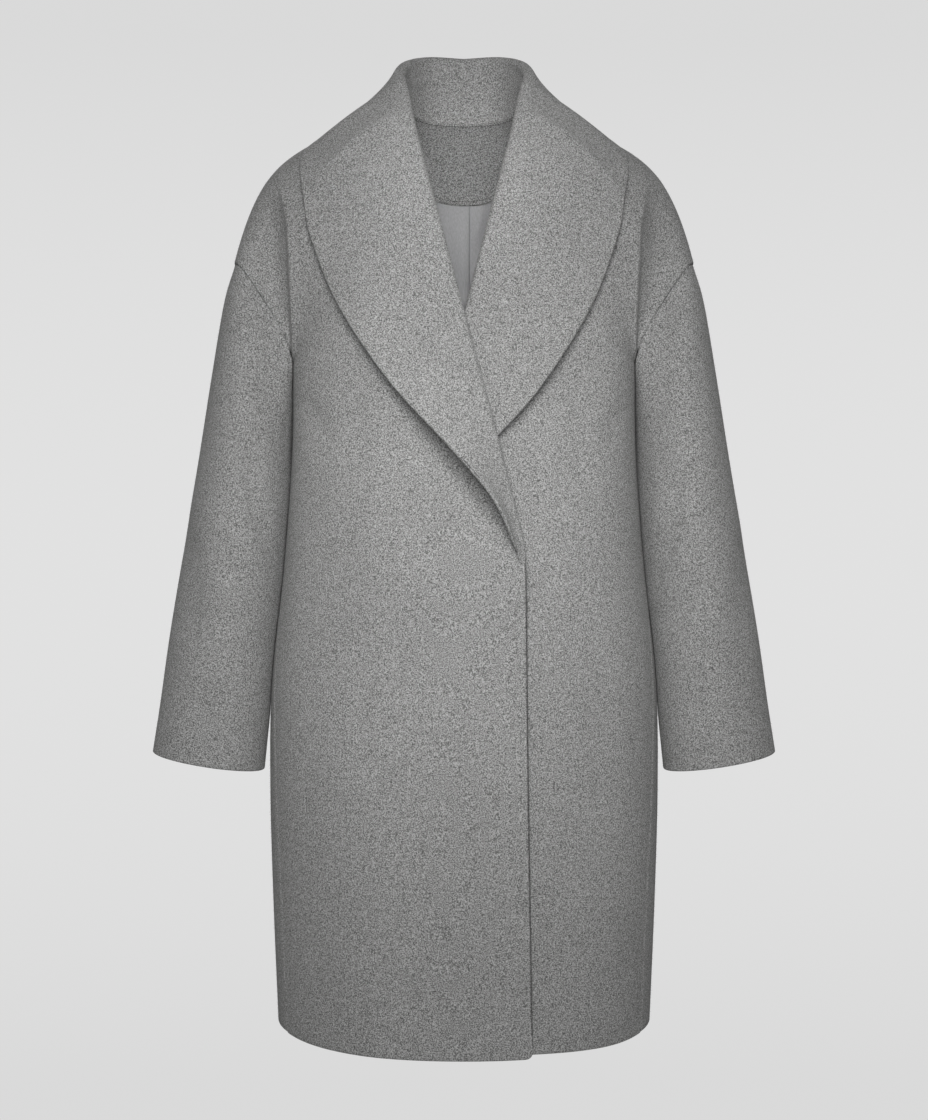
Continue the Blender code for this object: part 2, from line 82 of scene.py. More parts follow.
# Hem, where the right front hangs lower than the left
HemDip = namedtuple("HemDip", "depth squareness")
HEM_DIP_RIGHT = HemDip(0.006, 2)
HEM_DIP_LEFT = HemDip(0.0021, 6)
HEM_SIDE_RISE = 0.0098
HEM_SIDE_SQUARENESS = 8
HEM_FADE = 6

# Neck opening in the back panel
NECK_HALF_WIDTH = 0.070
NECK_BACK_DROP = 0.295

# Fold from the shoulder to the underarm in front, crisp on the body's side and soft on the sleeve's
FOLD_ROUND = 0.0007
FOLD_WIDTH = 0.023
FOLD_STEP = 0.34
FOLD_STEP_WIDTH = 0.003
FOLD_STEP_FADE = 2
FOLD_REACH = 0.05
ARM_CLEARANCE = 0.0006

# Turned edge of the collar, and the plies it lies between
LAPEL_RETURN = 0.016
PANEL_TUCK = 0.0085
UNDER_LAPEL_LIFT = 0.25
UNDER_LAPEL_DROP = 0.008
RETURN_CLEARANCE = 0.0026
COLLAR_TIP_RIM = 0.0004
FALL_ROUND = 0.4

# Stretches of the collar, in sections from the first one on the lapel
FALL_RESTS = (-1.7, -1.1)
LAPEL_DROPS = (0.5, 3.5)
LAPEL_PRESSED = (2.6, 4.0)

# Step along the collar, in sections, that shows which way its roll runs
ROLL_STEP = 0.05

# Turned front edges, with rounded corners at the hem
EDGE_BAND = 0.012
CORNER_RADIUS = 0.007
CORNER_FADE = 45

# Where the right front stands forward to lap over the left
LAP_FULL_X = 0.080
LAP_NONE_X = 0.170

# Back neck facing and lining
FACING_HALF_ACROSS = 0.31
FACING_LOWER_RISE = 0.575
FACING_UPPER_RISE = 0.955
FACING_CLEARANCE = 0.0056
FACING_NECK_SECTIONS = 4
FACING_SEAM_GAP = 0.0003
FACING_SEAM_PULL = (0.2, 1.0)
FACING_SEAM_RIM = 0.0003
FACING_SAG = 0.006
LINING_HALF_ACROSS = 0.82
LINING_UPPER_RISE = 0.60
LINING_HEM_UP = 0.035
LINING_CLEARANCE = 0.0024
PLEAT_X = 0.006
PLEAT_WIDTH = 0.014
PLEAT_STEP = 0.0012
PLEAT_PRESS = 0.8
PLEAT_PRESS_LENGTH = 0.12
PLEAT_BLEND = (-0.40, -0.08)
PLEAT_START = 0.07
PleatTurn = namedtuple("PleatTurn", "inset share")
PLEAT_TURN = (
    PleatTurn(0.0010, 0.0),
    PleatTurn(0.0003, 0.2),
    PleatTurn(0.0000, 0.5),
    PleatTurn(0.0003, 0.8),
    PleatTurn(0.0010, 1.0),
)

# Rows of stitches on the facing: places in rows of its mesh, lifts in thicknesses of the thread. The row at
# the neck seam is dark thread laid as painted shade, a dark line for the seam's shadowed ditch.
EDGE_ROW_UP = 1.2
EDGE_ROW_LIFT = 0.2
# Neck seam row: dark thread that paints the shade in the ditch of the seam between the collar and the facing
SEAM_SHADE_ROW_DOWN = 0.3
SEAM_SHADE_ROW_LIFT = 1.6

# Seeds of the naps, by the solid that each wool piece stands for
NAP_SEEDS = {
    "back": 1,
    "front_right": 2,
    "front_left": 4,
    "sleeve_right": 5,
    "sleeve_left": 7,
    "shawl_collar": 8,
    "back_neck_facing": 9,
}

# Flat size and area of each piece as cut, and the solids that it rests on
Cut = namedtuple("Cut", "width length area rests_on")
CUTS = {
    "back": Cut(0.72, 1.06, 0.586, ["front_left", "front_right"]),
    "front_left": Cut(0.36, 1.05, 0.268, ["back"]),
    "front_right": Cut(0.36, 1.05, 0.268, ["back"]),
    "sleeve_left": Cut(0.42, 0.52, 0.176, ["front_left", "back"]),
    "sleeve_right": Cut(0.42, 0.52, 0.176, ["front_right", "back"]),
    "shawl_collar": Cut(0.20, 1.35, 0.180, ["front_left", "front_right", "back"]),
    "back_neck_facing": Cut(0.15, 0.11, 0.0129, ["back"]),
    "back_lining": Cut(0.58, 0.84, 0.424, ["back"]),
}

# Mesh density
LOWER_ROWS = 130
UPPER_ROWS = 84
FRONT_COLUMNS = 124
FRONT_EDGE_COLUMNS = (0, 0.002, 0.005, 0.009, 0.014, 0.02)
FRONT_EVEN_COLUMNS_START = 0.028
BACK_COLUMNS = 132
SLEEVE_RINGS = 120
SLEEVE_HALF_TURNS = 52
COLLAR_STATIONS = 130
STAND_STEPS = 10
ROLL_STEPS = 10
FALL_STEPS = 34
FACING_ROWS = 24
FACING_COLUMNS = 60
LINING_ROWS = 110
LINING_COLUMNS = 44
RIM_STEPS = 4
HEIGHT_HALVINGS = 24

# Mark on the faces of a cloth's outer side, where its nap grows
OUTER_SIDE = "outer_side"

# Outside of the lower body, from the hem up to the underarm
BodyLevel = namedtuple(
    "BodyLevel", "height half_width front_depth back_depth squareness seam_forward"
)
BODY_LEVELS = (
    BodyLevel(HEM_HEIGHT, 0.1980, 0.132, 0.128, 2.15, 0.38),
    BodyLevel(-0.830, 0.2035, 0.135, 0.134, 2.20, 0.37),
    BodyLevel(-0.710, 0.2065, 0.135, 0.138, 2.30, 0.33),
    BodyLevel(-0.600, 0.2045, 0.132, 0.138, 2.48, 0.27),
    BodyLevel(-0.470, 0.1905, 0.126, 0.132, 2.80, 0.17),
    BodyLevel(-0.352, 0.1820, 0.118, 0.124, 3.30, 0.06),
    BodyLevel(UNDERARM[2], UNDERARM[0], 0.111, 0.118, 3.60, 0.00),
)

# Outside of the left sleeve, from the armhole down to the cuff
SleeveSection = namedtuple("SleeveSection", "outer_x outer_z inner_x inner_z half_depth middle_y")
SLEEVE_SECTIONS = (
    SleeveSection(SHOULDER_TIP[0], SHOULDER_TIP[2], UNDERARM[0], UNDERARM[2], ARMHOLE_HALF_DEPTH, 0.000),
    SleeveSection(0.2570, -0.205, 0.1812, -0.300, 0.076, 0.000),
    SleeveSection(0.2690, -0.275, 0.1825, -0.350, 0.074, -0.001),
    SleeveSection(0.2840, -0.370, 0.1850, -0.420, 0.070, -0.003),
    SleeveSection(0.2990, -0.460, 0.1915, -0.495, 0.065, -0.006),
    SleeveSection(0.3130, -0.550, 0.2010, -0.575, 0.059, -0.010),
    SleeveSection(0.3225, -0.620, 0.2070, -0.640, 0.053, -0.013),
    SleeveSection(0.3305, -0.673, 0.2120, -0.692, 0.049, -0.016),
)

# Shares of the sleeve's length where it leaves the armhole's shape, and where the cuff dips in front
ARMHOLE_CURVE_LENGTH = 0.35
ARMHOLE_BEND_LENGTH = 0.4
CUFF_DIP_START = 0.8
CUFF_DIP = 0.0033

# Head of the sleeve, tucked into the armhole seam but for the underarm
SLEEVE_TUCK = 0.0012
SLEEVE_TUCK_LENGTH = 0.1
SLEEVE_TUCK_ROUND = (-0.45, 0.2)

# Left half of the collar round the neck, from the middle of the back to the front
NeckSection = namedtuple(
    "NeckSection", "roll_x roll_y roll_z edge_x edge_y edge_z base_x base_y base_z fall_bulge"
)
NECK_SECTIONS = (
    NeckSection(0.0000, 0.062, 0.080, 0.000, 0.097, -0.036, 0.0000, 0.0500, 0.004, 0.012),
    NeckSection(0.0380, 0.053, 0.080, 0.064, 0.092, -0.036, 0.0340, 0.0430, 0.005, 0.012),
    NeckSection(0.0595, 0.027, 0.070, 0.112, 0.066, -0.031, 0.0560, 0.0220, 0.007, 0.007),
    NeckSection(0.0655, -0.003, 0.053, 0.144, 0.010, -0.019, 0.0630, 0.0000, 0.005, -0.004),
    NeckSection(0.0630, -0.017, 0.040, 0.1635, -0.021, -0.0325, 0.0630, -0.0140, 0.003, -0.008),
    NeckSection(0.0590, -0.030, 0.024, 0.172, -0.050, -0.0555, 0.0615, -0.0270, 0.000, 0.006),
)

# Left lapel, from the end of the neck sections down to below its break
LapelSection = namedtuple("LapelSection", "roll_x roll_z edge_x edge_z edge_lift fall_bulge")
LAPEL_SECTIONS = (
    LapelSection(0.0520, -0.007, 0.1660, -0.097, 0.008, 0.010),
    LapelSection(0.0435, -0.044, 0.1580, -0.138, 0.008, 0.007),
    LapelSection(0.0250, -0.118, 0.1280, -0.211, 0.009, 0.005),
    LapelSection(0.0000, -0.215, 0.0760, -0.290, 0.014, 0.004),
    LapelSection(-0.0270, -0.315, 0.0160, -0.356, 0.022, 0.006),
    LapelSection(-0.0500, -0.407, -0.0310, -0.411, 0.024, 0.007),
    LapelSection(-0.0602, -0.449, -0.0482, -0.449, 0.011, 0.004),
    LapelSection(-0.0630, -0.478, -0.0550, -0.470, 0.000, 0.000),
)

# How the lapel thins out below its break, station by station
TipSection = namedtuple("TipSection", "station wall roll_radius clearance")
TIP_SECTIONS = (
    TipSection(0.0, 1.0, 0.0047, 0.0012),
    TipSection(11.0, 1.0, 0.0045, 0.0012),
    TipSection(12.0, 0.8, 0.0026, 0.0008),
    TipSection(13.0, 0.2, 0.0008, -0.0012),
)

# Free edge of the left front, below the break. Above LAPEL_FREE_HEIGHT the edge follows the collar's roll.
FrontEdge = namedtuple("FrontEdge", "height x")
FRONT_EDGE = (
    FrontEdge(HEM_HEIGHT, -0.0700),
    FrontEdge(-0.720, -0.0660),
    FrontEdge(-0.520, -0.0638),
    FrontEdge(-0.482, -0.0632),
    FrontEdge(-0.464, -0.0616),
    FrontEdge(-0.448, -0.0575),
)
LAPEL_FREE_HEIGHT = -0.42
FRONT_NECK_SECTIONS = 2

# How far forward of the left front's places the right front lies
LapLift = namedtuple("LapLift", "height forward")
LAP_LIFT = (
    LapLift(HEM_HEIGHT, 0.0072),
    LapLift(-0.600, 0.0076),
    LapLift(-0.440, 0.0175),
    LapLift(-0.210, 0.0175),
    LapLift(-0.030, 0.0000),
)

# Where the shoulder's fold runs, and how deep it is
FoldPlace = namedtuple("FoldPlace", "height x depth")
SHOULDER_FOLD = (
    FoldPlace(-0.420, 0.1790, 0.000),
    FoldPlace(-0.330, 0.1790, 0.012),
    FoldPlace(-0.267, 0.1790, 0.020),
    FoldPlace(-0.223, 0.1795, 0.025),
    FoldPlace(-0.175, 0.1812, 0.026),
    FoldPlace(-0.123, 0.1844, 0.018),
    FoldPlace(-0.099, 0.1900, 0.009),
    FoldPlace(-0.070, 0.1950, 0.000),
)

# Creases as seen from the front or, with face 1, from behind. A trough has a depth below 0.
Crease = namedtuple("Crease", "face start_x start_z end_x end_z bow width depth")
BODY_CREASES = (
    Crease(-1, -0.200, -0.085, -0.203, -0.165, 0.003, 0.010, -0.0028),
    Crease(-1, 0.203, -0.080, 0.206, -0.150, -0.003, 0.011, -0.0024),
    Crease(-1, -0.114, -0.235, -0.117, -0.430, 0.004, 0.016, -0.0016),
    Crease(-1, 0.123, -0.260, 0.119, -0.420, -0.005, 0.014, -0.0015),
    Crease(-1, -0.103, -0.585, -0.106, -0.700, 0.002, 0.013, -0.0017),
    Crease(-1, 0.132, -0.560, 0.141, -0.735, 0.004, 0.017, -0.0016),
    Crease(-1, -0.050, -0.325, 0.044, -0.434, -0.004, 0.018, -0.0034),
    Crease(-1, -0.168, -0.300, -0.140, -0.365, 0.004, 0.012, -0.0018),
    Crease(-1, 0.170, -0.305, 0.148, -0.350, -0.003, 0.010, -0.0014),
    Crease(-1, -0.030, -0.560, -0.046, -0.930, 0.006, 0.030, 0.0016),
    Crease(1, -0.196, -0.095, -0.199, -0.190, 0.004, 0.012, -0.0028),
    Crease(1, 0.198, -0.090, 0.203, -0.175, -0.003, 0.011, -0.0025),
    Crease(1, -0.120, -0.150, -0.138, -0.420, 0.010, 0.020, -0.0042),
    Crease(1, 0.116, -0.165, 0.140, -0.390, -0.009, 0.018, -0.0036),
    Crease(1, -0.165, -0.290, -0.105, -0.360, 0.006, 0.013, -0.0026),
    Crease(1, 0.166, -0.295, 0.118, -0.345, -0.005, 0.012, -0.0022),
    Crease(1, -0.062, -0.480, -0.078, -0.900, 0.008, 0.028, -0.0040),
    Crease(1, 0.070, -0.520, 0.081, -0.860, -0.006, 0.024, -0.0034),
    Crease(1, 0.008, -0.600, 0.002, -0.950, 0.004, 0.034, 0.0026),
    Crease(1, -0.050, -0.185, 0.046, -0.192, 0.006, 0.012, -0.0012),
)
SLEEVE_CREASES = (
    Crease(-1, -0.198, -0.470, -0.222, -0.352, 0.006, 0.011, -0.0040),
    Crease(-1, 0.199, -0.490, 0.221, -0.385, -0.006, 0.011, -0.0036),
    Crease(-1, -0.205, -0.520, -0.252, -0.455, 0.006, 0.012, -0.0024),
    Crease(-1, 0.208, -0.540, 0.250, -0.480, -0.005, 0.012, -0.0022),
    Crease(-1, -0.292, -0.430, -0.284, -0.560, 0.004, 0.016, -0.0026),
    Crease(-1, 0.296, -0.450, 0.290, -0.575, -0.004, 0.015, -0.0022),
    Crease(-1, -0.240, -0.215, -0.246, -0.330, 0.003, 0.014, -0.0022),
    Crease(-1, 0.243, -0.225, 0.246, -0.340, -0.003, 0.013, -0.0020),
    Crease(-1, -0.270, -0.600, -0.262, -0.680, 0.002, 0.016, -0.0016),
    Crease(1, -0.200, -0.420, -0.262, -0.405, 0.010, 0.011, -0.0040),
    Crease(1, -0.212, -0.478, -0.280, -0.450, 0.008, 0.012, -0.0034),
    Crease(1, 0.202, -0.432, 0.262, -0.420, -0.010, 0.011, -0.0036),
    Crease(1, 0.214, -0.492, 0.276, -0.462, -0.008, 0.012, -0.0036),
    Crease(1, -0.236, -0.215, -0.240, -0.345, 0.004, 0.014, -0.0028),
    Crease(1, 0.240, -0.220, 0.242, -0.350, -0.004, 0.014, -0.0026),
    Crease(1, -0.268, -0.560, -0.276, -0.670, 0.003, 0.015, -0.0022),
    Crease(1, 0.270, -0.575, 0.280, -0.665, -0.003, 0.014, -0.0020),
)
COLLAR_CREASES = (
    Crease(-1, -0.089, 0.030, -0.079, -0.095, -0.010, 0.020, -0.0055),
    Crease(-1, 0.094, 0.020, 0.090, -0.080, 0.006, 0.020, -0.0050),
    Crease(1, -0.055, 0.055, -0.078, -0.010, 0.004, 0.014, -0.0016),
    Crease(1, 0.060, 0.052, 0.076, -0.012, -0.004, 0.014, -0.0014),
)
LINING_CREASES = (
    Crease(-1, 0.019, -0.080, 0.013, -0.120, 0.000, 0.0035, 0.0012),
    Crease(-1, 0.027, -0.080, 0.034, -0.150, 0.002, 0.0060, -0.0012),
    Crease(-1, -0.020, -0.080, -0.026, -0.260, 0.003, 0.0120, 0.0012),
)

# How a crease fades in along its length, fades out, and fades where the cloth turns away
CREASE_START = (-0.2, 0.3)
CREASE_END = (0.7, 1.2)
CREASE_TURN = (-0.1, 0.35)

# Studio lights: each one's tilt is from straight down, and its spread is in degrees
StudioLight = namedtuple("StudioLight", "name power place tilt size spread")
STUDIO_LIGHTS = (
    StudioLight("key_light", "key_power", (0.0, -1.5, 0.2), 1.1, 0.7, 70),
    StudioLight("top_light", "top_power", (0.0, -1.15, 0.61), math.pi / 4, 0.4, 40),
    StudioLight("front_light", "front_power", (0.0, -2.0, -0.52), math.pi / 2, 0.6, 60),
    StudioLight("neck_light", "neck_power", (0.0, -1.6, -0.005), math.pi / 2, 0.06, 13),
    StudioLight("back_light", "back_power", (0.0, 1.7, 0.35), -1.1, 1.2, 130),
)

# How the backdrop darkens away from eye level, and how the floor fades out from its middle
BACKDROP_FADE = 0.05
BACKDROP_DARKEST = 0.925
FLOOR_SIDES = 96
FLOOR_MOTTLE = 0.99
FLOOR_OPACITY = 0.5
FLOOR_FADE = (0.1, 0.62)


class CoatCloth(bpy.types.PropertyGroup):
    """Thickness of the cloths and the strength of their creases."""

    shell_wall: bpy.props.FloatProperty(
        name="Shell", description="Thickness of the wool panels",
        default=0.003, min=0.001, max=0.006, unit="LENGTH", precision=4)
    edge_wall: bpy.props.FloatProperty(
        name="Front edge", description="Thickness of the turned front edges",
        default=0.0044, min=0.001, max=0.008, unit="LENGTH", precision=4)
    collar_wall: bpy.props.FloatProperty(
        name="Collar", description="Thickness of the collar's two plies",
        default=0.004, min=0.001, max=0.008, unit="LENGTH", precision=4)
    facing_wall: bpy.props.FloatProperty(
        name="Facing", description="Thickness of the back neck facing",
        default=0.0015, min=0.0005, max=0.003, unit="LENGTH", precision=4)
    lining_wall: bpy.props.FloatProperty(
        name="Lining", description="Thickness of the satin lining",
        default=0.0006, min=0.0003, max=0.002, unit="LENGTH", precision=4)
    seam_reach: bpy.props.FloatProperty(
        name="Seam", description="How far a seamed edge turns in",
        default=0.0019, min=0.0002, max=0.003, unit="LENGTH", precision=4)
    crease_share: bpy.props.FloatProperty(
        name="Creases", description="Share of the creases' full depth",
        default=1.3, min=0.0, max=2.0, subtype="FACTOR")


class CoatColours(bpy.types.PropertyGroup):
    """Colours of the wool, the lining and the thread."""

    wool_dark: bpy.props.FloatVectorProperty(
        name="Dark fibre", description="Darkest fibres of the melange",
        default=(0.090, 0.090, 0.088), size=3, min=0, max=1, subtype="COLOR")
    wool_light: bpy.props.FloatVectorProperty(
        name="Light fibre", description="Lightest fibres of the melange",
        default=(0.385, 0.385, 0.381), size=3, min=0, max=1, subtype="COLOR")
    satin: bpy.props.FloatVectorProperty(
        name="Satin", description="Colour of the lining",
        default=(0.290, 0.290, 0.294), size=3, min=0, max=1, subtype="COLOR")
    thread: bpy.props.FloatVectorProperty(
        name="Thread", description="Colour of the sewing thread",
        default=(0.030, 0.030, 0.029), size=3, min=0, max=1, subtype="COLOR")


class CoatThreads(bpy.types.PropertyGroup):
    """Nap of the wool, and the sewing."""

    density: bpy.props.FloatProperty(
        name="Nap density", description="Loose fibres on a square metre of wool",
        default=50000, min=0, max=200000)
    shortest: bpy.props.FloatProperty(
        name="Shortest fibre", description="Length of the shortest loose fibres",
        default=0.0010, min=0.0001, max=0.01, unit="LENGTH", precision=5)
    longest: bpy.props.FloatProperty(
        name="Longest fibre", description="Length of the longest loose fibres",
        default=0.0026, min=0.0001, max=0.01, unit="LENGTH", precision=5)
    thickness: bpy.props.FloatProperty(
        name="Fibre", description="Thickness of a loose fibre at its root",
        default=0.00014, min=0.00002, max=0.001, unit="LENGTH", precision=5)
    disorder: bpy.props.FloatProperty(
        name="Disorder", description="How far the fibres stray from their common lay",
        default=1.1, min=0, max=4)
    brushed: bpy.props.FloatProperty(
        name="Brushed down", description="How far the nap is brushed downwards",
        default=0.9, min=0, max=4)
    stitch_spacing: bpy.props.FloatProperty(
        name="Stitch spacing", description="From one stitch to the next",
        default=0.0032, min=0.001, max=0.02, unit="LENGTH", precision=4)
    stitch_length: bpy.props.FloatProperty(
        name="Stitch length", description="Length of a stitch",
        default=0.0029, min=0.0005, max=0.02, unit="LENGTH", precision=4)
    thread: bpy.props.FloatProperty(
        name="Thread", description="Thickness of the sewing thread",
        default=0.0007, min=0.0001, max=0.003, unit="LENGTH", precision=4)


class CoatStage(bpy.types.PropertyGroup):
    """Camera, floor and light."""

    camera_distance: bpy.props.FloatProperty(
        name="Camera distance", description="From the camera to the middle of the coat",
        default=2.4, min=1, max=10, unit="LENGTH")
    eye_height: bpy.props.FloatProperty(
        name="Eye height", description="Height of the camera from the origin",
        default=-0.470, min=-2, max=2, unit="LENGTH")
    view_height: bpy.props.FloatProperty(
        name="View height", description="Height of the frame at the middle of the coat",
        default=1.1984, min=0.5, max=4, unit="LENGTH")
    floor_height: bpy.props.FloatProperty(
        name="Floor", description="Height of the floor from the origin",
        default=-1.35, min=-3, max=-1, unit="LENGTH")
    backdrop: bpy.props.FloatVectorProperty(
        name="Backdrop", description="Colour of the air round the coat",
        default=(0.755, 0.755, 0.755), size=3, min=0, max=1, subtype="COLOR")
    air_light: bpy.props.FloatProperty(
        name="Air light", description="Share of the backdrop's brightness that lights the coat",
        default=0.365, min=0, max=1, subtype="FACTOR")
    floor_radius: bpy.props.FloatProperty(
        name="Floor radius", description="Radius of the round floor",
        default=1.6, min=0.5, max=20, unit="LENGTH")
    floor_colour: bpy.props.FloatVectorProperty(
        name="Floor colour", description="Colour of the floor",
        default=(0.80, 0.80, 0.80), size=3, min=0, max=1, subtype="COLOR")
    key_power: bpy.props.FloatProperty(
        name="Key light", description="Power of the main light, in front and above",
        default=2.4, min=0, max=1000, unit="POWER")
    front_power: bpy.props.FloatProperty(
        name="Front light", description="Power of the light level with the coat's middle",
        default=1.15, min=0, max=1000, unit="POWER")
    top_power: bpy.props.FloatProperty(
        name="Top light", description="Power of the high light that draws the shade under the lapels",
        default=0.48, min=0, max=1000, unit="POWER")
    neck_power: bpy.props.FloatProperty(
        name="Neck light", description="Power of the small light that reaches into the neck",
        default=0.06, min=0, max=1000, unit="POWER")
    back_power: bpy.props.FloatProperty(
        name="Back light", description="Power of the large light behind",
        default=11.0, min=0, max=1000, unit="POWER")


def column(table, name):
    """One named column of a table."""
    return [getattr(row, name) for row in table]


def stack(x, y, z):
    """Points from their three coordinates."""
    return np.stack(np.broadcast_arrays(x, y, z), axis=-1)


def unit(vectors):
    """Vectors made 1 long."""
    return vectors / np.linalg.norm(vectors, axis=-1, keepdims=True)


def mix(a, b, share):
    """From a, at share 0, to b, at share 1."""
    return a + (b - a) * share


def ease(low, high, at):
    """0 up to low, 1 from high, smooth between."""
    t = np.clip((at - low) / (high - low), 0, 1)
    return t * t * (3 - 2 * t)


def power(value, exponent):
    """A power that keeps the sign."""
    return np.sign(value) * np.abs(value) ** exponent


def through(places, values, at):
    """Smooth curve through the values at rising places, level beyond its ends."""
    p, v = np.asarray(places, float), np.asarray(values, float)
    last = len(p) - 1
    at = np.clip(at, p[0], p[last])
    i = np.searchsorted(p[1:], at)
    low = np.maximum(np.arange(last + 1) - 1, 0)
    high = np.minimum(np.arange(last + 1) + 1, last)
    slope = (v[high] - v[low]) / (p[high] - p[low])
    span = p[i + 1] - p[i]
    t = (at - p[i]) / span
    ends = v[i] * (1 + 2 * t) * (1 - t) ** 2 + v[i + 1] * t * t * (3 - 2 * t)
    return ends + span * (slope[i] * t * (1 - t) ** 2 - slope[i + 1] * t * t * (1 - t))


def stepped(places, values, at):
    """Values at rising places, eased from one to the next and never beyond them."""
    p, v = np.asarray(places, float), np.asarray(values, float)
    at = np.clip(at, p[0], p[-1])
    i = np.searchsorted(p[1:], at)
    return mix(v[i], v[i + 1], ease(p[i], p[i + 1], at))


def body(name, height):
    """A measure of the body at a height."""
    return through(column(BODY_LEVELS, "height"), column(BODY_LEVELS, name), height)


def ring_point(angle, height):
    """Outside of the lower body: angle 0 at the front's middle, a quarter turn at the side."""
    bend = 2 / body("squareness", height)
    forward = np.cos(angle) > 0
    depth = np.where(forward, body("front_depth", height), body("back_depth", height))
    x = body("half_width", height) * power(np.sin(angle), bend)
    return stack(x, -depth * power(np.cos(angle), bend), height)


def side_raised(points, up):
    """The hem curls up a little at each side."""
    half = body("half_width", mix(HEM_HEIGHT, UNDERARM[2], up))
    beside = (np.abs(points[..., 0]) / half) ** HEM_SIDE_SQUARENESS
    points[..., 2] += HEM_SIDE_RISE * beside * (1 - up) ** HEM_FADE
    return points


def armhole_curve(turn):
    """How the armhole seam curves in towards the neck."""
    along = SHOULDER_TIP - UNDERARM
    towards_neck = unit(np.array((-along[2], 0, along[0])))
    return towards_neck * ARMHOLE_CURVE_IN * np.sin(turn)[..., None]


def armhole_bend(turn):
    """How square the armhole is from front to back: rounder at the shoulder than at the underarm."""
    return mix(ARMHOLE_TOP_BEND, ARMHOLE_BEND, ease(0, np.pi / 2, turn))


def armhole_point(turn, face):
    """The armhole seam: turn 0 at the shoulder tip, pi at the underarm. face is -1 in front, 1 behind."""
    turn = np.asarray(turn, float)
    reach = (SHOULDER_TIP - UNDERARM) / 2 * np.cos(turn)[..., None]
    points = (SHOULDER_TIP + UNDERARM) / 2 + reach + armhole_curve(turn)
    points[..., 1] = face * ARMHOLE_HALF_DEPTH * power(np.sin(turn), armhole_bend(turn))
    return points


def middle_height(rise):
    """Height of the upper body's middle line: rise 0 at the underarm, 1 at the shoulder seam."""
    return mix(UNDERARM[2], SHOULDER_TOP_HEIGHT, np.sin(rise * np.pi / 2) ** (2 / DOME))


def upper_point(out, rise, face):
    """Outside of the upper body: out 0 at the middle, 1 at the armhole."""
    end = armhole_point(np.pi * (1 - rise), face)
    depth = body("front_depth" if face < 0 else "back_depth", UNDERARM[2])
    middle_y = face * depth * np.maximum(0.0, np.cos(rise * np.pi / 2)) ** (2 / DOME)
    share = np.minimum(1.0, np.abs(out))
    square = body("squareness", UNDERARM[2])
    rounded = np.abs(middle_y) * (1 - share**square) ** (1 / square)
    beside = np.abs(end[..., 1]) * share**SIDE_REACH
    low_y = face * (rounded**SIDE_JOIN + beside**SIDE_JOIN) ** (1 / SIDE_JOIN)
    high_y = mix(middle_y, end[..., 1], share**SHOULDER_DEPTH_ROUND)
    shoulder = SHOULDER_STRAIGHT * share + (1 - SHOULDER_STRAIGHT) * share**SHOULDER_ROUND
    drop = mix(share**CHEST_SLOPE, shoulder, rise * rise)
    return stack(
        end[..., 0] * out,
        mix(low_y, high_y, ease(*CHEST_TO_SHOULDER, rise)),
        mix(middle_height(rise), end[..., 2], drop),
    )


def spread(start, across, rise):
    """Share of the half width for a column: even round the ring at the underarm, even in width above."""
    bend = 2 / body("squareness", UNDERARM[2])
    angle = np.arcsin(power(start, 1 / bend))
    round_share = power(np.sin(mix(angle, np.pi / 2, across)), bend)
    return mix(round_share, mix(start, 1.0, across), ease(0, EVEN_WIDTH_RISE, rise))


def folded(points):
    """Points of the front or a sleeve, sunk where the fold falls from the shoulder."""
    heights = column(SHOULDER_FOLD, "height")
    apart = np.abs(points[..., 0]) - through(heights, column(SHOULDER_FOLD, "x"), points[..., 2])
    past = np.logaddexp(0, apart / FOLD_ROUND) * FOLD_ROUND / FOLD_WIDTH
    depth = through(heights, column(SHOULDER_FOLD, "depth"), points[..., 2])
    depth = np.maximum(0, depth) * ease(0, FOLD_REACH, -points[..., 1])
    moved = points.copy()
    slope = past * np.exp((1 - past**2) / 2)
    step = ease(0, FOLD_STEP_WIDTH, apart) * np.exp(-((past / FOLD_STEP_FADE) ** 2))
    moved[..., 1] += depth * mix(slope, step, FOLD_STEP)
    return moved


def front_edge(height):
    """Where the left front's own edge lies: free below the lapel's break, tucked into the collar above."""
    rows = [row for row in reversed(LAPEL_SECTIONS) if row.roll_z > LAPEL_FREE_HEIGHT]
    neck = NECK_SECTIONS[::-1][:FRONT_NECK_SECTIONS]
    places = column(FRONT_EDGE, "height") + column(rows, "roll_z") + column(neck, "roll_z")
    tucked = [x + PANEL_TUCK for x in column(rows, "roll_x") + column(neck, "roll_x")]
    return through(places, column(FRONT_EDGE, "x") + tucked, height)


def front_row(across, up, dip):
    """A row of the left front's outside: up 0 at the hem, 1 at the underarm, 2 at the shoulder."""
    if up > 1:
        rise = up - 1
        start = front_edge(middle_height(rise)) / armhole_point(np.pi * (1 - rise), -1)[0]
        out = spread(start, across, rise)
        return upper_point(out, rise, -1)
    height = mix(HEM_HEIGHT, UNDERARM[2], up)
    bend = 2 / body("squareness", height)
    half = body("half_width", height)
    start = np.arcsin(power(front_edge(height) / half, 1 / bend))
    points = ring_point(mix(start, np.pi / 2 - body("seam_forward", height), across), height)
    points[:, 2] -= dip.depth * (1 - np.abs(points[:, 0] / half) ** dip.squareness) * (1 - up) ** HEM_FADE
    short = np.maximum(0, CORNER_RADIUS - (points[:, 0] - points[0, 0]))
    points[:, 2] += (CORNER_RADIUS - np.sqrt(CORNER_RADIUS**2 - short**2)) * (1 - up) ** CORNER_FADE
    return side_raised(points, up)


def back_row(across, up):
    """A row of the back's outside, from the right side (across -1) to the left (across 1)."""
    if up > 1:
        rise = up - 1
        out = np.sign(across) * spread(0.0, np.abs(across), rise)
        neck = np.minimum(1.0, np.abs(out) * armhole_point(0, 1)[0] / NECK_HALF_WIDTH)
        return upper_point(out, rise * (1 - NECK_BACK_DROP * np.sqrt(1 - neck * neck)), 1)
    height = mix(HEM_HEIGHT, UNDERARM[2], up)
    angle = np.pi - across * (np.pi / 2 + body("seam_forward", height))
    return side_raised(ring_point(angle, height), up)


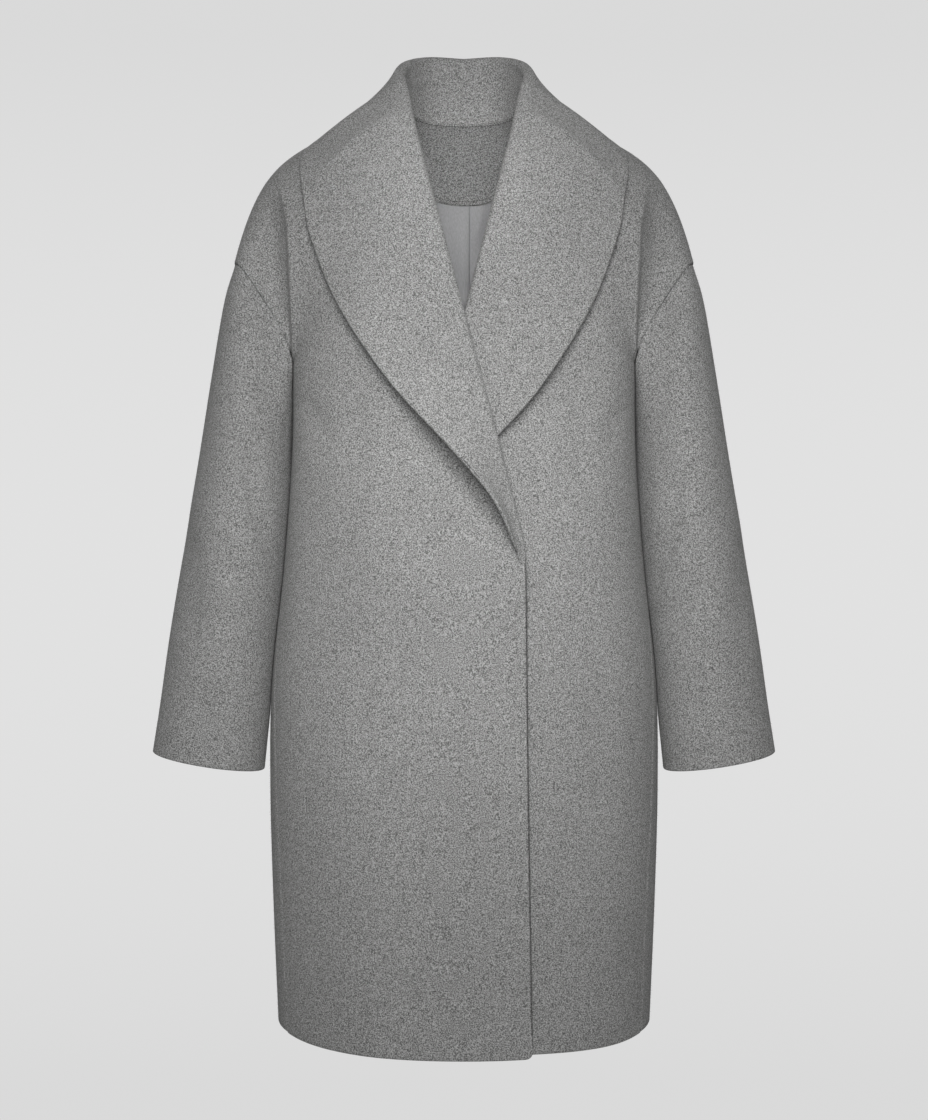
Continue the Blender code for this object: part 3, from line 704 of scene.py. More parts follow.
def front_depth(x, z):
    """How far forward the left front's outside lies at places seen from the front."""
    square = body("squareness", z)
    share = np.minimum(1.0, np.abs(x) / body("half_width", z))
    lower = body("front_depth", z) * (1 - share**square) ** (1 / square)
    low, high = np.zeros_like(z), np.ones_like(z)
    for _ in range(HEIGHT_HALVINGS):
        rise = (low + high) / 2
        points = upper_point(x / armhole_point(np.pi * (1 - rise), -1)[..., 0], rise, -1)
        under = points[..., 2] < z
        low, high = np.where(under, rise, low), np.where(under, high, rise)
    return np.where(z <= UNDERARM[2], lower, -points[..., 1])


def panel_ups():
    """Places of a body panel's rows."""
    lower = np.linspace(0, 1, LOWER_ROWS, endpoint=False)
    return np.concatenate((lower, np.linspace(1, 2, UPPER_ROWS + 1)))


def front_columns():
    """Places of a front's columns, close together at its free edge."""
    return np.concatenate((FRONT_EDGE_COLUMNS, np.linspace(FRONT_EVEN_COLUMNS_START, 1, FRONT_COLUMNS)))


def front_grid(dip):
    """Outside of the left front."""
    points = np.array([front_row(front_columns(), up, dip) for up in panel_ups()])
    return folded(points)


def back_grid(across, ups):
    """Outside of the back."""
    return np.array([back_row(across, up) for up in ups])


def sleeve_grid():
    """Outside of the left sleeve, rings from the armhole to the cuff."""
    turn = np.linspace(0, 2 * np.pi, 2 * SLEEVE_HALF_TURNS, endpoint=False)
    face = np.where(turn <= np.pi, -1.0, 1.0)
    turn = np.where(turn <= np.pi, turn, 2 * np.pi - turn)
    places = np.linspace(0, 1, len(SLEEVE_SECTIONS))
    rings = []
    for along in np.linspace(0, 1, SLEEVE_RINGS + 1):
        size = SleeveSection(
            *(through(places, column(SLEEVE_SECTIONS, name), along) for name in SleeveSection._fields)
        )
        outer = np.array((size.outer_x, 0, size.outer_z))
        inner = np.array((size.inner_x, 0, size.inner_z))
        points = (outer + inner) / 2 + (outer - inner) / 2 * np.cos(turn)[:, None]
        points += armhole_curve(turn) * (1 - ease(0, ARMHOLE_CURVE_LENGTH, along))
        bend = mix(armhole_bend(turn), 1, ease(0, ARMHOLE_BEND_LENGTH, along))
        points[:, 1] = size.middle_y + face * size.half_depth * power(np.sin(turn), bend)
        points[:, 2] -= np.where(face < 0, CUFF_DIP * np.sin(turn), 0) * ease(CUFF_DIP_START, 1, along)
        rings.append(points)
    return folded(np.array(rings))


def beside_body(points):
    """Sleeve points kept out of the body, so that the sleeve lies flat against its side."""
    x, y, z = np.moveaxis(points, -1, 0)
    square = body("squareness", z)
    depth = np.where(y < 0, body("front_depth", z), body("back_depth", z))
    side = body("half_width", z) * (1 - np.minimum(1, np.abs(y) / depth) ** square) ** (1 / square)
    clear = np.where(z < UNDERARM[2], side + ARM_CLEARANCE, 0)
    return stack(np.sign(x) * np.maximum(np.abs(x), clear), y, z)


def mirrored(points):
    """The same places on the right side."""
    return points * (-1, 1, 1)


def lapped(points):
    """The same places on the right side, moved forward where the right front laps over the left."""
    share = 1 - ease(LAP_FULL_X, LAP_NONE_X, points[..., 0])
    forward = stepped(column(LAP_LIFT, "height"), column(LAP_LIFT, "forward"), points[..., 2])
    return stack(-points[..., 0], points[..., 1] - forward * share, points[..., 2])


def lapel_guide(roll, edge, lift, shell_wall, collar_wall):
    """Roll, edge, base and aim points of sections that hold the front's edge between their two legs."""
    roll, edge = roll * (1, 0, 1), edge * (1, 0, 1)
    run = edge - roll
    length = np.linalg.norm(run, axis=-1, keepdims=True)
    base = roll + run / length * np.minimum(LAPEL_RETURN, length)
    aim = base.copy()
    roll[:, 1] = -front_depth(roll[:, 0], roll[:, 2]) + shell_wall / 2
    edge[:, 1] = -front_depth(edge[:, 0], edge[:, 2]) - lift
    aim[:, 1] = -front_depth(aim[:, 0], aim[:, 2]) + shell_wall / 2
    base[:, 1] = aim[:, 1] + shell_wall / 2 + RETURN_CLEARANCE + collar_wall / 2
    return roll, edge, base, aim


def collar_guides(shell_wall, collar_wall):
    """The four guide points of every collar section, from the middle back to the break."""
    roll, edge, base = (
        np.array([[getattr(row, part + axis) for axis in ("_x", "_y", "_z")] for row in NECK_SECTIONS])
        for part in ("roll", "edge", "base")
    )
    lapel = lapel_guide(
        np.array([(row.roll_x, 0, row.roll_z) for row in LAPEL_SECTIONS]),
        np.array([(row.edge_x, 0, row.edge_z) for row in LAPEL_SECTIONS]),
        np.array(column(LAPEL_SECTIONS, "edge_lift")),
        shell_wall, collar_wall,
    )
    neck = (roll, edge, base, (edge + base) / 2)
    return [np.concatenate(pair) for pair in zip(neck, lapel)]


def collar_sections(t, loose, drop, shell_wall, collar_wall):
    """Middle of the collar's wall at stations t: up the stand, round the roll and down the fall.

    loose is how much of its lift the fall keeps: 1 on the outer lapel, less on the one pressed under it.
    drop is how much lower the lapel's edge hangs.
    """
    guides = collar_guides(shell_wall, collar_wall)
    places = np.arange(len(guides[0]))
    lapels = len(NECK_SECTIONS)
    past = t - lapels

    def guide(which, at):
        """One of the guide points at stations."""
        return stack(*(through(places, guides[which][:, axis], at) for axis in range(3)))

    stations = column(TIP_SECTIONS, "station")
    wall = (through(stations, column(TIP_SECTIONS, "wall"), t) * collar_wall)[:, None]
    radius = through(stations, column(TIP_SECTIONS, "roll_radius"), t)[:, None]
    clearance = through(stations, column(TIP_SECTIONS, "clearance"), t)
    press = mix(1, loose, ease(*LAPEL_PRESSED, past))
    lift = through(places[lapels:], column(LAPEL_SECTIONS, "edge_lift"), t) * press
    hung = [guide(which, t) for which in range(len(guides))]
    hung[1][:, 2] -= drop * ease(*LAPEL_DROPS, past)
    laid = lapel_guide(hung[0], hung[1], lift, shell_wall, collar_wall)
    on_front = (past >= 0)[:, None]
    roll, edge, base, aim = (np.where(on_front, new, old) for new, old in zip(laid, hung))
    tangent = guide(0, t + ROLL_STEP) - guide(0, t - ROLL_STEP)
    tangent[t < ROLL_STEP] = (1, 0, 0)
    tangent = unit(tangent)
    top = roll - aim
    top = unit(top - tangent * (top * tangent).sum(axis=-1, keepdims=True))
    out = unit(np.cross(top, tangent))
    centre = roll - top * (radius + wall / 2)
    start, finish = centre - out * radius, centre + out * radius
    points = [mix(base, start, k / STAND_STEPS) for k in range(STAND_STEPS)]
    for angle in np.linspace(0, np.pi, ROLL_STEPS + 1):
        points.append(centre + (top * math.sin(angle) - out * math.cos(angle)) * radius)
    bulges = column(NECK_SECTIONS, "fall_bulge") + column(LAPEL_SECTIONS, "fall_bulge")
    bulge = (through(places, bulges, t) * press)[:, None]
    reach = np.linalg.norm(edge - finish, axis=-1, keepdims=True)
    control = finish - top * FALL_ROUND * reach + out * bulge
    rests = ease(*FALL_RESTS, past)
    for w in np.linspace(0, 1, FALL_STEPS + 1)[1:]:
        point = finish * (1 - w) ** 2 + control * 2 * w * (1 - w) + edge * w * w
        clear = -front_depth(point[:, 0], point[:, 2]) - clearance - wall[:, 0] / 2
        point[:, 1] = mix(point[:, 1], np.minimum(point[:, 1], clear), rests)
        points.append(point)
    return np.stack(points, axis=1)


def collar_grid(shell_wall, collar_wall):
    """Middle of the whole collar's wall, from the right break round the neck to the left break."""
    stations = np.linspace(0, len(NECK_SECTIONS) + len(LAPEL_SECTIONS) - 1, COLLAR_STATIONS + 1)
    left = collar_sections(stations, UNDER_LAPEL_LIFT, UNDER_LAPEL_DROP, shell_wall, collar_wall)
    right = collar_sections(stations[:0:-1], 1, 0, shell_wall, collar_wall)
    share = through(column(TIP_SECTIONS, "station"), column(TIP_SECTIONS, "wall"), stations)
    walls = np.concatenate((share[:0:-1], share)) * collar_wall
    return np.concatenate((lapped(right), left)), walls[:, None, None]


def lining_columns():
    """Columns of the lining, with the pleat's Z fold in its middle.

    Each has its place across, a shift sideways, and how far it stands off the back.
    """
    half = np.linspace(0, LINING_HALF_ACROSS, LINING_COLUMNS + 1)[1:]
    half = half[half > PLEAT_START]
    left = [(-share, 0, 2 * PLEAT_STEP * ease(*PLEAT_BLEND, -share)) for share in half[::-1]]
    right = [(share, 0, 0) for share in half]
    inner, middle = PLEAT_X - PLEAT_WIDTH, PLEAT_X - PLEAT_WIDTH / 2
    fold = [(inner, 2), (middle, 2)]
    fold += [(PLEAT_X - turn.inset, 2 - turn.share) for turn in PLEAT_TURN]
    fold += [(middle, 1)]
    fold += [(inner + turn.inset, 1 - turn.share) for turn in PLEAT_TURN]
    fold += [(middle, 0), (PLEAT_X, 0)]
    return np.array(left + [(0, shift, plies * PLEAT_STEP) for shift, plies in fold] + right)


def outward_of(points, turned, ring=False):
    """Unit normals of a grid, out of the cloth's outer side."""
    if ring:
        over = np.roll(points, -1, axis=1) - np.roll(points, 1, axis=1)
    else:
        over = np.gradient(points, axis=1)
    return unit(np.cross(over, np.gradient(points, axis=0)) * turned)


def creased(points, outward, creases, share):
    """Points moved along their normals by soft troughs and ridges."""
    move = np.zeros(points.shape[:-1])
    for crease in creases:
        start = np.array((crease.start_x, crease.start_z))
        run = np.array((crease.end_x, crease.end_z)) - start
        length = np.hypot(*run)
        along = run / length
        seen = points[..., [0, 2]] - start
        place = seen @ along / length
        apart = seen @ np.array((-along[1], along[0])) - crease.bow * 4 * place * (1 - place)
        fade = ease(*CREASE_START, place) * (1 - ease(*CREASE_END, place))
        facing = ease(*CREASE_TURN, crease.face * outward[..., 1])
        move += crease.depth * share * fade * facing * np.exp(-((apart / crease.width) ** 2))
    return points + outward * move[..., None]


def edge_loop(rows, columns):
    """Grid places round the edge of a panel."""
    first = [(0, j) for j in range(columns - 1)]
    right = [(i, columns - 1) for i in range(rows - 1)]
    last = [(rows - 1, j) for j in range(columns - 1, 0, -1)]
    left = [(i, 0) for i in range(rows - 1, 0, -1)]
    return np.array(first + right + last + left)


Rims = namedtuple("Rims", "first last left right")


def edge_reach(points, rims, ring):
    """How far each edge point's rounded rim reaches, as a vector off the panel's edge."""
    away = np.zeros_like(points)
    away[0] += unit(points[0] - points[1]) * rims.first
    away[-1] += unit(points[-1] - points[-2]) * rims.last
    if not ring:
        away[:, 0] += unit(points[:, 0] - points[:, 1]) * rims.left
        away[:, -1] += unit(points[:, -1] - points[:, -2]) * rims.right
    return away


def cloth(name, outside, inside, rims, turned, material, ring=False):
    """A closed wall of cloth between two grids, with rounded rims, as a named object."""
    rows, columns = outside.shape[:2]
    away = edge_reach((outside + inside) / 2, rims, ring)
    outside, inside = outside - away, inside - away
    count = rows * columns
    place = np.arange(count).reshape(rows, columns)
    wide = np.concatenate((place, place[:, :1]), axis=1) if ring else place
    quads = np.stack((wide[:-1, :-1], wide[:-1, 1:], wide[1:, 1:], wide[1:, :-1]), axis=-1).reshape(-1, 4)
    points = [outside.reshape(-1, 3), inside.reshape(-1, 3)]
    faces = [quads, quads[:, ::-1] + count]
    if ring:
        loops = [[(0, j) for j in range(columns)], [(rows - 1, j) for j in range(columns - 1, -1, -1)]]
    else:
        loops = [edge_loop(rows, columns)]
    made = 2 * count
    for loop in loops:
        i, j = np.array(loop).T
        middle, half = (outside[i, j] + inside[i, j]) / 2, (outside[i, j] - inside[i, j]) / 2
        before = place[i, j]
        for step in range(1, RIM_STEPS + 2):
            if step <= RIM_STEPS:
                angle = np.pi * step / (RIM_STEPS + 1)
                points.append(middle + half * math.cos(angle) + away[i, j] * math.sin(angle))
                after = made + np.arange(len(i))
                made += len(i)
            else:
                after = place[i, j] + count
            faces.append(np.stack((np.roll(before, -1), before, after, np.roll(after, -1)), axis=-1))
            before = after
    faces = np.concatenate(faces)
    if turned < 0:
        faces = faces[:, ::-1]
    mesh = bpy.data.meshes.new(name)
    mesh.from_pydata(np.concatenate(points).tolist(), [], faces.tolist())
    mesh.shade_smooth()
    mesh.materials.append(material)
    outer = mesh.attributes.new(OUTER_SIDE, "BOOLEAN", "FACE")
    outer.data.foreach_set("value", np.arange(len(faces)) < len(quads))
    piece = bpy.data.objects.new(name, mesh)
    bpy.context.scene.collection.objects.link(piece)
    return piece


def worn(piece, node, sewn_on=()):
    """Parents a finished sheet of cloth, and what is on it, to the root, and hides the solid that it stands
    for.
    """
    cut = CUTS[node]
    for part in (piece, *sewn_on):
        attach(part, "root")
    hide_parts(node)
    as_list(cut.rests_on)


def new_tree(name, inputs):
    """An empty geometry tree with named inputs, and its ends."""
    tree = bpy.data.node_groups.new(name, "GeometryNodeTree")
    tree.interface.new_socket("Geometry", in_out="OUTPUT", socket_type="NodeSocketGeometry")
    for label, kind in (("Geometry", "Geometry"), *inputs, ("Material", "Material")):
        tree.interface.new_socket(label, in_out="INPUT", socket_type="NodeSocket" + kind)
    return tree, tree.nodes.new("NodeGroupInput").outputs


def planted(tree, given, points, shape, rotation, scale):
    """Ends a tree: a shape on every point, made real, with its material."""
    plant = tree.nodes.new("GeometryNodeInstanceOnPoints")
    real = tree.nodes.new("GeometryNodeRealizeInstances")
    finish = tree.nodes.new("GeometryNodeSetMaterial")
    end = tree.nodes.new("NodeGroupOutput")
    for source, target in (
        (points, plant.inputs["Points"]), (shape, plant.inputs["Instance"]),
        (rotation, plant.inputs["Rotation"]), (scale, plant.inputs["Scale"]),
        (plant.outputs["Instances"], real.inputs["Geometry"]),
        (real.outputs["Geometry"], finish.inputs["Geometry"]),
        (given["Material"], finish.inputs["Material"]),
        (finish.outputs["Geometry"], end.inputs["Geometry"]),
    ):
        tree.links.new(source, target)


def aimed(tree, vector, axis):
    """A rotation that turns an axis along a vector."""
    node = tree.nodes.new("FunctionNodeAlignRotationToVector")
    node.axis = axis
    tree.links.new(vector, node.inputs["Vector"])
    return node.outputs["Rotation"]


def sized(tree, x, y, z):
    """A scale from three lengths."""
    node = tree.nodes.new("ShaderNodeCombineXYZ")
    for source, target in zip((x, y, z), node.inputs):
        tree.links.new(source, target)
    return node.outputs["Vector"]


def nap_tree():
    """Short loose fibres all over a cloth's outer side, brushed downwards."""
    tree = bpy.data.node_groups.get("wool_nap")
    if tree:
        return tree
    tree, given = new_tree("wool_nap", (
        ("Density", "Float"), ("Shortest", "Float"), ("Longest", "Float"), ("Thickness", "Float"),
        ("Disorder", "Vector"), ("Brushed", "Vector"), ("Seed", "Int"),
    ))
    outer = tree.nodes.new("GeometryNodeInputNamedAttribute")
    outer.data_type = "BOOLEAN"
    outer.inputs["Name"].default_value = OUTER_SIDE
    sown = tree.nodes.new("GeometryNodeDistributePointsOnFaces")
    for name, source in (("Mesh", "Geometry"), ("Density", "Density"), ("Seed", "Seed")):
        tree.links.new(given[source], sown.inputs[name])
    tree.links.new(outer.outputs["Attribute"], sown.inputs["Selection"])
    stray = tree.nodes.new("FunctionNodeRandomValue")
    stray.data_type = "FLOAT_VECTOR"
    back = tree.nodes.new("ShaderNodeVectorMath")
    back.operation = "SCALE"
    back.inputs["Scale"].default_value = -1
    tree.links.new(given["Disorder"], back.inputs[0])
    tree.links.new(back.outputs["Vector"], stray.inputs[0])
    tree.links.new(given["Disorder"], stray.inputs[1])
    tree.links.new(given["Seed"], stray.inputs["Seed"])
    lean = sown.outputs["Normal"]
    for push in (given["Brushed"], stray.outputs[0]):
        add = tree.nodes.new("ShaderNodeVectorMath")
        tree.links.new(lean, add.inputs[0])
        tree.links.new(push, add.inputs[1])
        lean = add.outputs["Vector"]
    length = tree.nodes.new("FunctionNodeRandomValue")
    tree.links.new(given["Shortest"], length.inputs[2])
    tree.links.new(given["Longest"], length.inputs[3])
    tree.links.new(given["Seed"], length.inputs["Seed"])
    fibre = tree.nodes.new("GeometryNodeMeshCone")
    fibre.inputs["Vertices"].default_value = 3
    fibre.inputs["Radius Top"].default_value = 0
    fibre.inputs["Radius Bottom"].default_value = 0.5
    fibre.inputs["Depth"].default_value = 1
    thick = given["Thickness"]
    planted(tree, given, sown.outputs["Points"], fibre.outputs["Mesh"], aimed(tree, lean, "Z"),
            sized(tree, thick, thick, length.outputs[1]))
    return tree


def stitch_tree():
    """A row of stitches along a line."""
    tree, given = new_tree("stitch_row", (
        ("Spacing", "Float"), ("Length", "Float"), ("Thickness", "Float"),
    ))
    line = tree.nodes.new("GeometryNodeMeshToCurve")
    even = tree.nodes.new("GeometryNodeResampleCurve")
    even.mode = "LENGTH"
    tree.links.new(given["Geometry"], line.inputs["Mesh"])
    tree.links.new(line.outputs["Curve"], even.inputs["Curve"])
    tree.links.new(given["Spacing"], even.inputs["Length"])
    stitch = tree.nodes.new("GeometryNodeMeshUVSphere")
    stitch.inputs["Segments"].default_value = 8
    stitch.inputs["Rings"].default_value = 5
    stitch.inputs["Radius"].default_value = 0.5
    along = tree.nodes.new("GeometryNodeInputTangent").outputs["Tangent"]
    thick = given["Thickness"]
    planted(tree, given, even.outputs["Curve"], stitch.outputs["Mesh"], aimed(tree, along, "X"),
            sized(tree, given["Length"], thick, thick))
    return tree


def grown(name, host, tree, values):
    """What a geometry tree makes on a host, as a plain mesh of its own."""
    modifier = host.modifiers.new(tree.name, "NODES")
    modifier.node_group = tree
    for socket in tree.interface.items_tree:
        if socket.in_out == "INPUT" and socket.name in values:
            modifier[socket.identifier] = values[socket.name]
    bpy.context.view_layer.update()
    graph = bpy.context.evaluated_depsgraph_get()
    mesh = bpy.data.meshes.new_from_object(host.evaluated_get(graph))
    mesh.name = name
    host.modifiers.remove(modifier)
    if not mesh.polygons:
        raise RuntimeError(name + " came out empty")
    piece = bpy.data.objects.new(name, mesh)
    bpy.context.scene.collection.objects.link(piece)
    return piece


def napped(piece, colours, threads, seed):
    """The nap of a wool piece."""
    fibres = grown(piece.name + "_nap", piece, nap_tree(), {
        "Density": threads.density, "Shortest": threads.shortest, "Longest": threads.longest,
        "Thickness": threads.thickness, "Disorder": (threads.disorder,) * 3,
        "Brushed": (0.0, 0.0, -threads.brushed), "Seed": seed, "Material": melange_wool(colours),
    })
    piece.data.attributes.remove(piece.data.attributes[OUTER_SIDE])
    return fibres


def wool_piece(context, node, outside, inside, rims, turned, ring=False):
    """The wool piece that stands for a solid, and its nap."""
    colours = context.scene.coat_colours
    piece = cloth("wool_" + node, outside, inside, rims, turned, melange_wool(colours), ring)
    return piece, napped(piece, colours, context.scene.coat_threads, NAP_SEEDS[node])


def stitched(name, line, context):
    """A row of stitches along a line of points."""
    mesh = bpy.data.meshes.new(name + "_line")
    mesh.from_pydata(line.tolist(), [(i, i + 1) for i in range(len(line) - 1)], [])
    host = bpy.data.objects.new(name + "_line", mesh)
    bpy.context.scene.collection.objects.link(host)
    threads = context.scene.coat_threads
    stitches = grown(name, host, stitch_tree(), {
        "Spacing": threads.stitch_spacing, "Length": threads.stitch_length, "Thickness": threads.thread,
        "Material": sewing_thread(context.scene.coat_colours),
    })
    bpy.data.objects.remove(host)
    bpy.data.meshes.remove(mesh)
    return stitches


def noise(tree, coords, scale, detail, roughness=0.5):
    """A noise texture in the coat's own coordinates."""
    node = tree.nodes.new("ShaderNodeTexNoise")
    node.inputs["Scale"].default_value = scale
    node.inputs["Detail"].default_value = detail
    node.inputs["Roughness"].default_value = roughness
    tree.links.new(coords, node.inputs["Vector"])
    return node.outputs["Fac"]


def ramp(tree, source, *stops):
    """A colour ramp through (place, colour) stops."""
    node = tree.nodes.new("ShaderNodeValToRGB")
    for element, (place, colour) in zip(node.color_ramp.elements, (stops[0], stops[-1])):
        element.position = place
        element.color = colour
    for place, colour in stops[1:-1]:
        node.color_ramp.elements.new(place).color = colour
    tree.links.new(source, node.inputs["Fac"])
    return node.outputs["Color"]


def blended(tree, kind, factor, a, b):
    """Two colours mixed."""
    node = tree.nodes.new("ShaderNodeMix")
    node.data_type = "RGBA"
    node.blend_type = kind
    node.inputs[0].default_value = factor
    tree.links.new(a, node.inputs[6])
    tree.links.new(b, node.inputs[7])
    return node.outputs[2]


def bump(tree, height, strength, distance, under=None):
    """A bump from a height, on top of another bump if given."""
    node = tree.nodes.new("ShaderNodeBump")
    node.inputs["Strength"].default_value = strength
    node.inputs["Distance"].default_value = distance
    tree.links.new(height, node.inputs["Height"])
    if under:
        tree.links.new(under, node.inputs["Normal"])
    return node.outputs["Normal"]


def grey(value):
    """A grey with its alpha."""
    return (value, value, value, 1.0)


def toned(colour, share=1.0):
    """A colour made darker or lighter, with its alpha."""
    return (*(np.array(colour) * share), 1.0)


def new_finish(name):
    """A new material, its tree, its shader and the piece's own coordinates."""
    material = bpy.data.materials.new(name)
    material.use_nodes = True
    tree = material.node_tree
    coords = tree.nodes.new("ShaderNodeTexCoord").outputs["Object"]
    return material, tree, tree.nodes["Principled BSDF"], coords


def melange_wool(colours):
    """Brushed salt-and-pepper wool: dark and light fibres in blotches of about 2 mm."""
    material = bpy.data.materials.get("melange_wool")
    if material:
        return material
    material, tree, shader, coords = new_finish("melange_wool")
    fleck = noise(tree, coords, scale=800, detail=2, roughness=0.6)
    fibre = noise(tree, coords, scale=1500, detail=2, roughness=0.6)
    cloud = noise(tree, coords, scale=9, detail=3)
    colour = ramp(tree, fleck, (0.37, toned(colours.wool_dark)), (0.63, toned(colours.wool_light)))
    colour = blended(tree, "OVERLAY", 0.45, colour, ramp(tree, fibre, (0.3, grey(0.2)), (0.7, grey(0.8))))
    colour = blended(tree, "OVERLAY", 0.35, colour, ramp(tree, cloud, (0.3, grey(0.44)), (0.7, grey(0.56))))
    tree.links.new(colour, shader.inputs["Base Color"])
    raised = bump(tree, fleck, strength=0.5, distance=0.0010)
    raised = bump(tree, fibre, strength=0.4, distance=0.0005, under=raised)
    tree.links.new(raised, shader.inputs["Normal"])
    shader.inputs["Roughness"].default_value = 0.95
    shader.inputs["Specular IOR Level"].default_value = 0.15
    shader.inputs["Sheen Weight"].default_value = 0.12
    shader.inputs["Sheen Roughness"].default_value = 0.5
    shader.inputs["Sheen Tint"].default_value = (0.8, 0.8, 0.78, 1)
    return material


def satin_lining(colours):
    """Smooth grey lining with fine threads that run down it."""
    material, tree, shader, coords = new_finish("satin_lining")
    drawn = tree.nodes.new("ShaderNodeMapping")
    drawn.inputs["Scale"].default_value = (1, 1, 0.06)
    tree.links.new(coords, drawn.inputs["Vector"])
    thread = noise(tree, drawn.outputs["Vector"], scale=1400, detail=2)
    cloud = noise(tree, coords, scale=14, detail=2)
    colour = ramp(tree, thread, (0.3, toned(colours.satin, 0.88)), (0.7, toned(colours.satin, 1.12)))
    colour = blended(tree, "OVERLAY", 0.3, colour, ramp(tree, cloud, (0.3, grey(0.46)), (0.7, grey(0.54))))
    tree.links.new(colour, shader.inputs["Base Color"])
    tree.links.new(bump(tree, thread, strength=0.15, distance=0.0002), shader.inputs["Normal"])
    shader.inputs["Roughness"].default_value = 0.38
    shader.inputs["Specular IOR Level"].default_value = 0.45
    return material


def sewing_thread(colours):
    """Twisted dark grey thread."""
    material = bpy.data.materials.get("sewing_thread")
    if material:
        return material
    material, tree, shader, coords = new_finish("sewing_thread")
    twist = noise(tree, coords, scale=2600, detail=2)
    colour = ramp(tree, twist, (0.3, toned(colours.thread, 0.7)), (0.7, toned(colours.thread, 1.25)))
    tree.links.new(colour, shader.inputs["Base Color"])
    tree.links.new(bump(tree, twist, strength=0.5, distance=0.0003), shader.inputs["Normal"])
    shader.inputs["Roughness"].default_value = 0.7
    return material


def pale_floor(stage):
    """Plain pale floor that fades out from its middle."""
    material, tree, shader, coords = new_finish("pale_floor")
    mottle = noise(tree, coords, scale=1.5, detail=2)
    darker = toned(stage.floor_colour, FLOOR_MOTTLE)
    colour = ramp(tree, mottle, (0.3, darker), (0.7, toned(stage.floor_colour)))
    tree.links.new(colour, shader.inputs["Base Color"])
    shader.inputs["Roughness"].default_value = 1
    shader.inputs["Specular IOR Level"].default_value = 0
    flat = tree.nodes.new("ShaderNodeVectorMath")
    flat.operation = "MULTIPLY"
    flat.inputs[1].default_value = (1 / stage.floor_radius, 1 / stage.floor_radius, 0)
    reach = tree.nodes.new("ShaderNodeVectorMath")
    reach.operation = "LENGTH"
    tree.links.new(coords, flat.inputs[0])
    tree.links.new(flat.outputs["Vector"], reach.inputs[0])
    solid, gone = FLOOR_FADE
    fade = ramp(tree, reach.outputs["Value"], (solid, grey(FLOOR_OPACITY)), (gone, grey(0)))
    tree.links.new(fade, shader.inputs["Alpha"])
    return material


class COAT_OT_make_back(bpy.types.Operator):
    """Makes the back panel"""

    bl_idname = "coat.make_back"
    bl_label = "Back"

    def execute(self, context):
        size = context.scene.coat_cloth
        points = back_grid(np.linspace(-1, 1, BACK_COLUMNS + 1), panel_ups())
        outward = outward_of(points, -1)
        points = creased(points, outward, BODY_CREASES, size.crease_share)
        outward = outward_of(points, -1)
        rims = Rims(size.shell_wall / 2, size.seam_reach, size.seam_reach, size.seam_reach)
        piece, nap = wool_piece(context, "back", points, points - outward * size.shell_wall, rims, -1)
        worn(piece, "back", [nap])
        return {"FINISHED"}


class COAT_OT_make_fronts(bpy.types.Operator):
    """Makes the two front panels, the right one lapped over the left"""

    bl_idname = "coat.make_fronts"
    bl_label = "Fronts"

    def execute(self, context):
        size = context.scene.coat_cloth
        rims = Rims(size.shell_wall / 2, size.seam_reach, size.edge_wall / 2, size.seam_reach)
        for node, dip, turned in (("front_left", HEM_DIP_LEFT, 1), ("front_right", HEM_DIP_RIGHT, -1)):
            points = front_grid(dip)
            if turned < 0:
                points = lapped(points)
            outward = outward_of(points, turned)
            points = creased(points, outward, BODY_CREASES, size.crease_share)
            outward = outward_of(points, turned)
            reach = np.abs(points[..., :1] - points[:, :1, :1])
            wall = mix(size.edge_wall, size.shell_wall, ease(0, EDGE_BAND, reach))
            piece, nap = wool_piece(context, node, points, points - outward * wall, rims, turned)
            worn(piece, node, [nap])
        return {"FINISHED"}


class COAT_OT_make_sleeves(bpy.types.Operator):
    """Makes the two sleeves"""

    bl_idname = "coat.make_sleeves"
    bl_label = "Sleeves"

    def execute(self, context):
        size = context.scene.coat_cloth
        rims = Rims(size.seam_reach, size.shell_wall / 2, 0, 0)
        for node, turned in (("sleeve_left", 1), ("sleeve_right", -1)):
            points = sleeve_grid()
            if turned < 0:
                points = mirrored(points)
            outward = outward_of(points, turned, ring=True)
            along = np.linspace(0, 1, len(points))[:, None]
            around = np.cos(np.linspace(0, 2 * np.pi, points.shape[1], endpoint=False))
            tucked = SLEEVE_TUCK * (1 - ease(0, SLEEVE_TUCK_LENGTH, along)) * ease(*SLEEVE_TUCK_ROUND, around)
            points = points - outward * tucked[..., None]
            points = beside_body(creased(points, outward, SLEEVE_CREASES, size.crease_share))
            outward = outward_of(points, turned, ring=True)
            inside = points - outward * size.shell_wall
            piece, nap = wool_piece(context, node, points, inside, rims, turned, ring=True)
            worn(piece, node, [nap])
        return {"FINISHED"}


class COAT_OT_make_collar(bpy.types.Operator):
    """Makes the shawl collar with its two lapels"""

    bl_idname = "coat.make_collar"
    bl_label = "Shawl collar"

    def execute(self, context):
        size = context.scene.coat_cloth
        points, walls = collar_grid(size.shell_wall, size.collar_wall)
        points = creased(points, outward_of(points, 1), COLLAR_CREASES, size.crease_share)
        half = outward_of(points, 1) * walls / 2
        rims = Rims(COLLAR_TIP_RIM, COLLAR_TIP_RIM, size.seam_reach, size.collar_wall / 2)
        piece, nap = wool_piece(context, "shawl_collar", points + half, points - half, rims, 1)
        worn(piece, "shawl_collar", [nap])
        return {"FINISHED"}


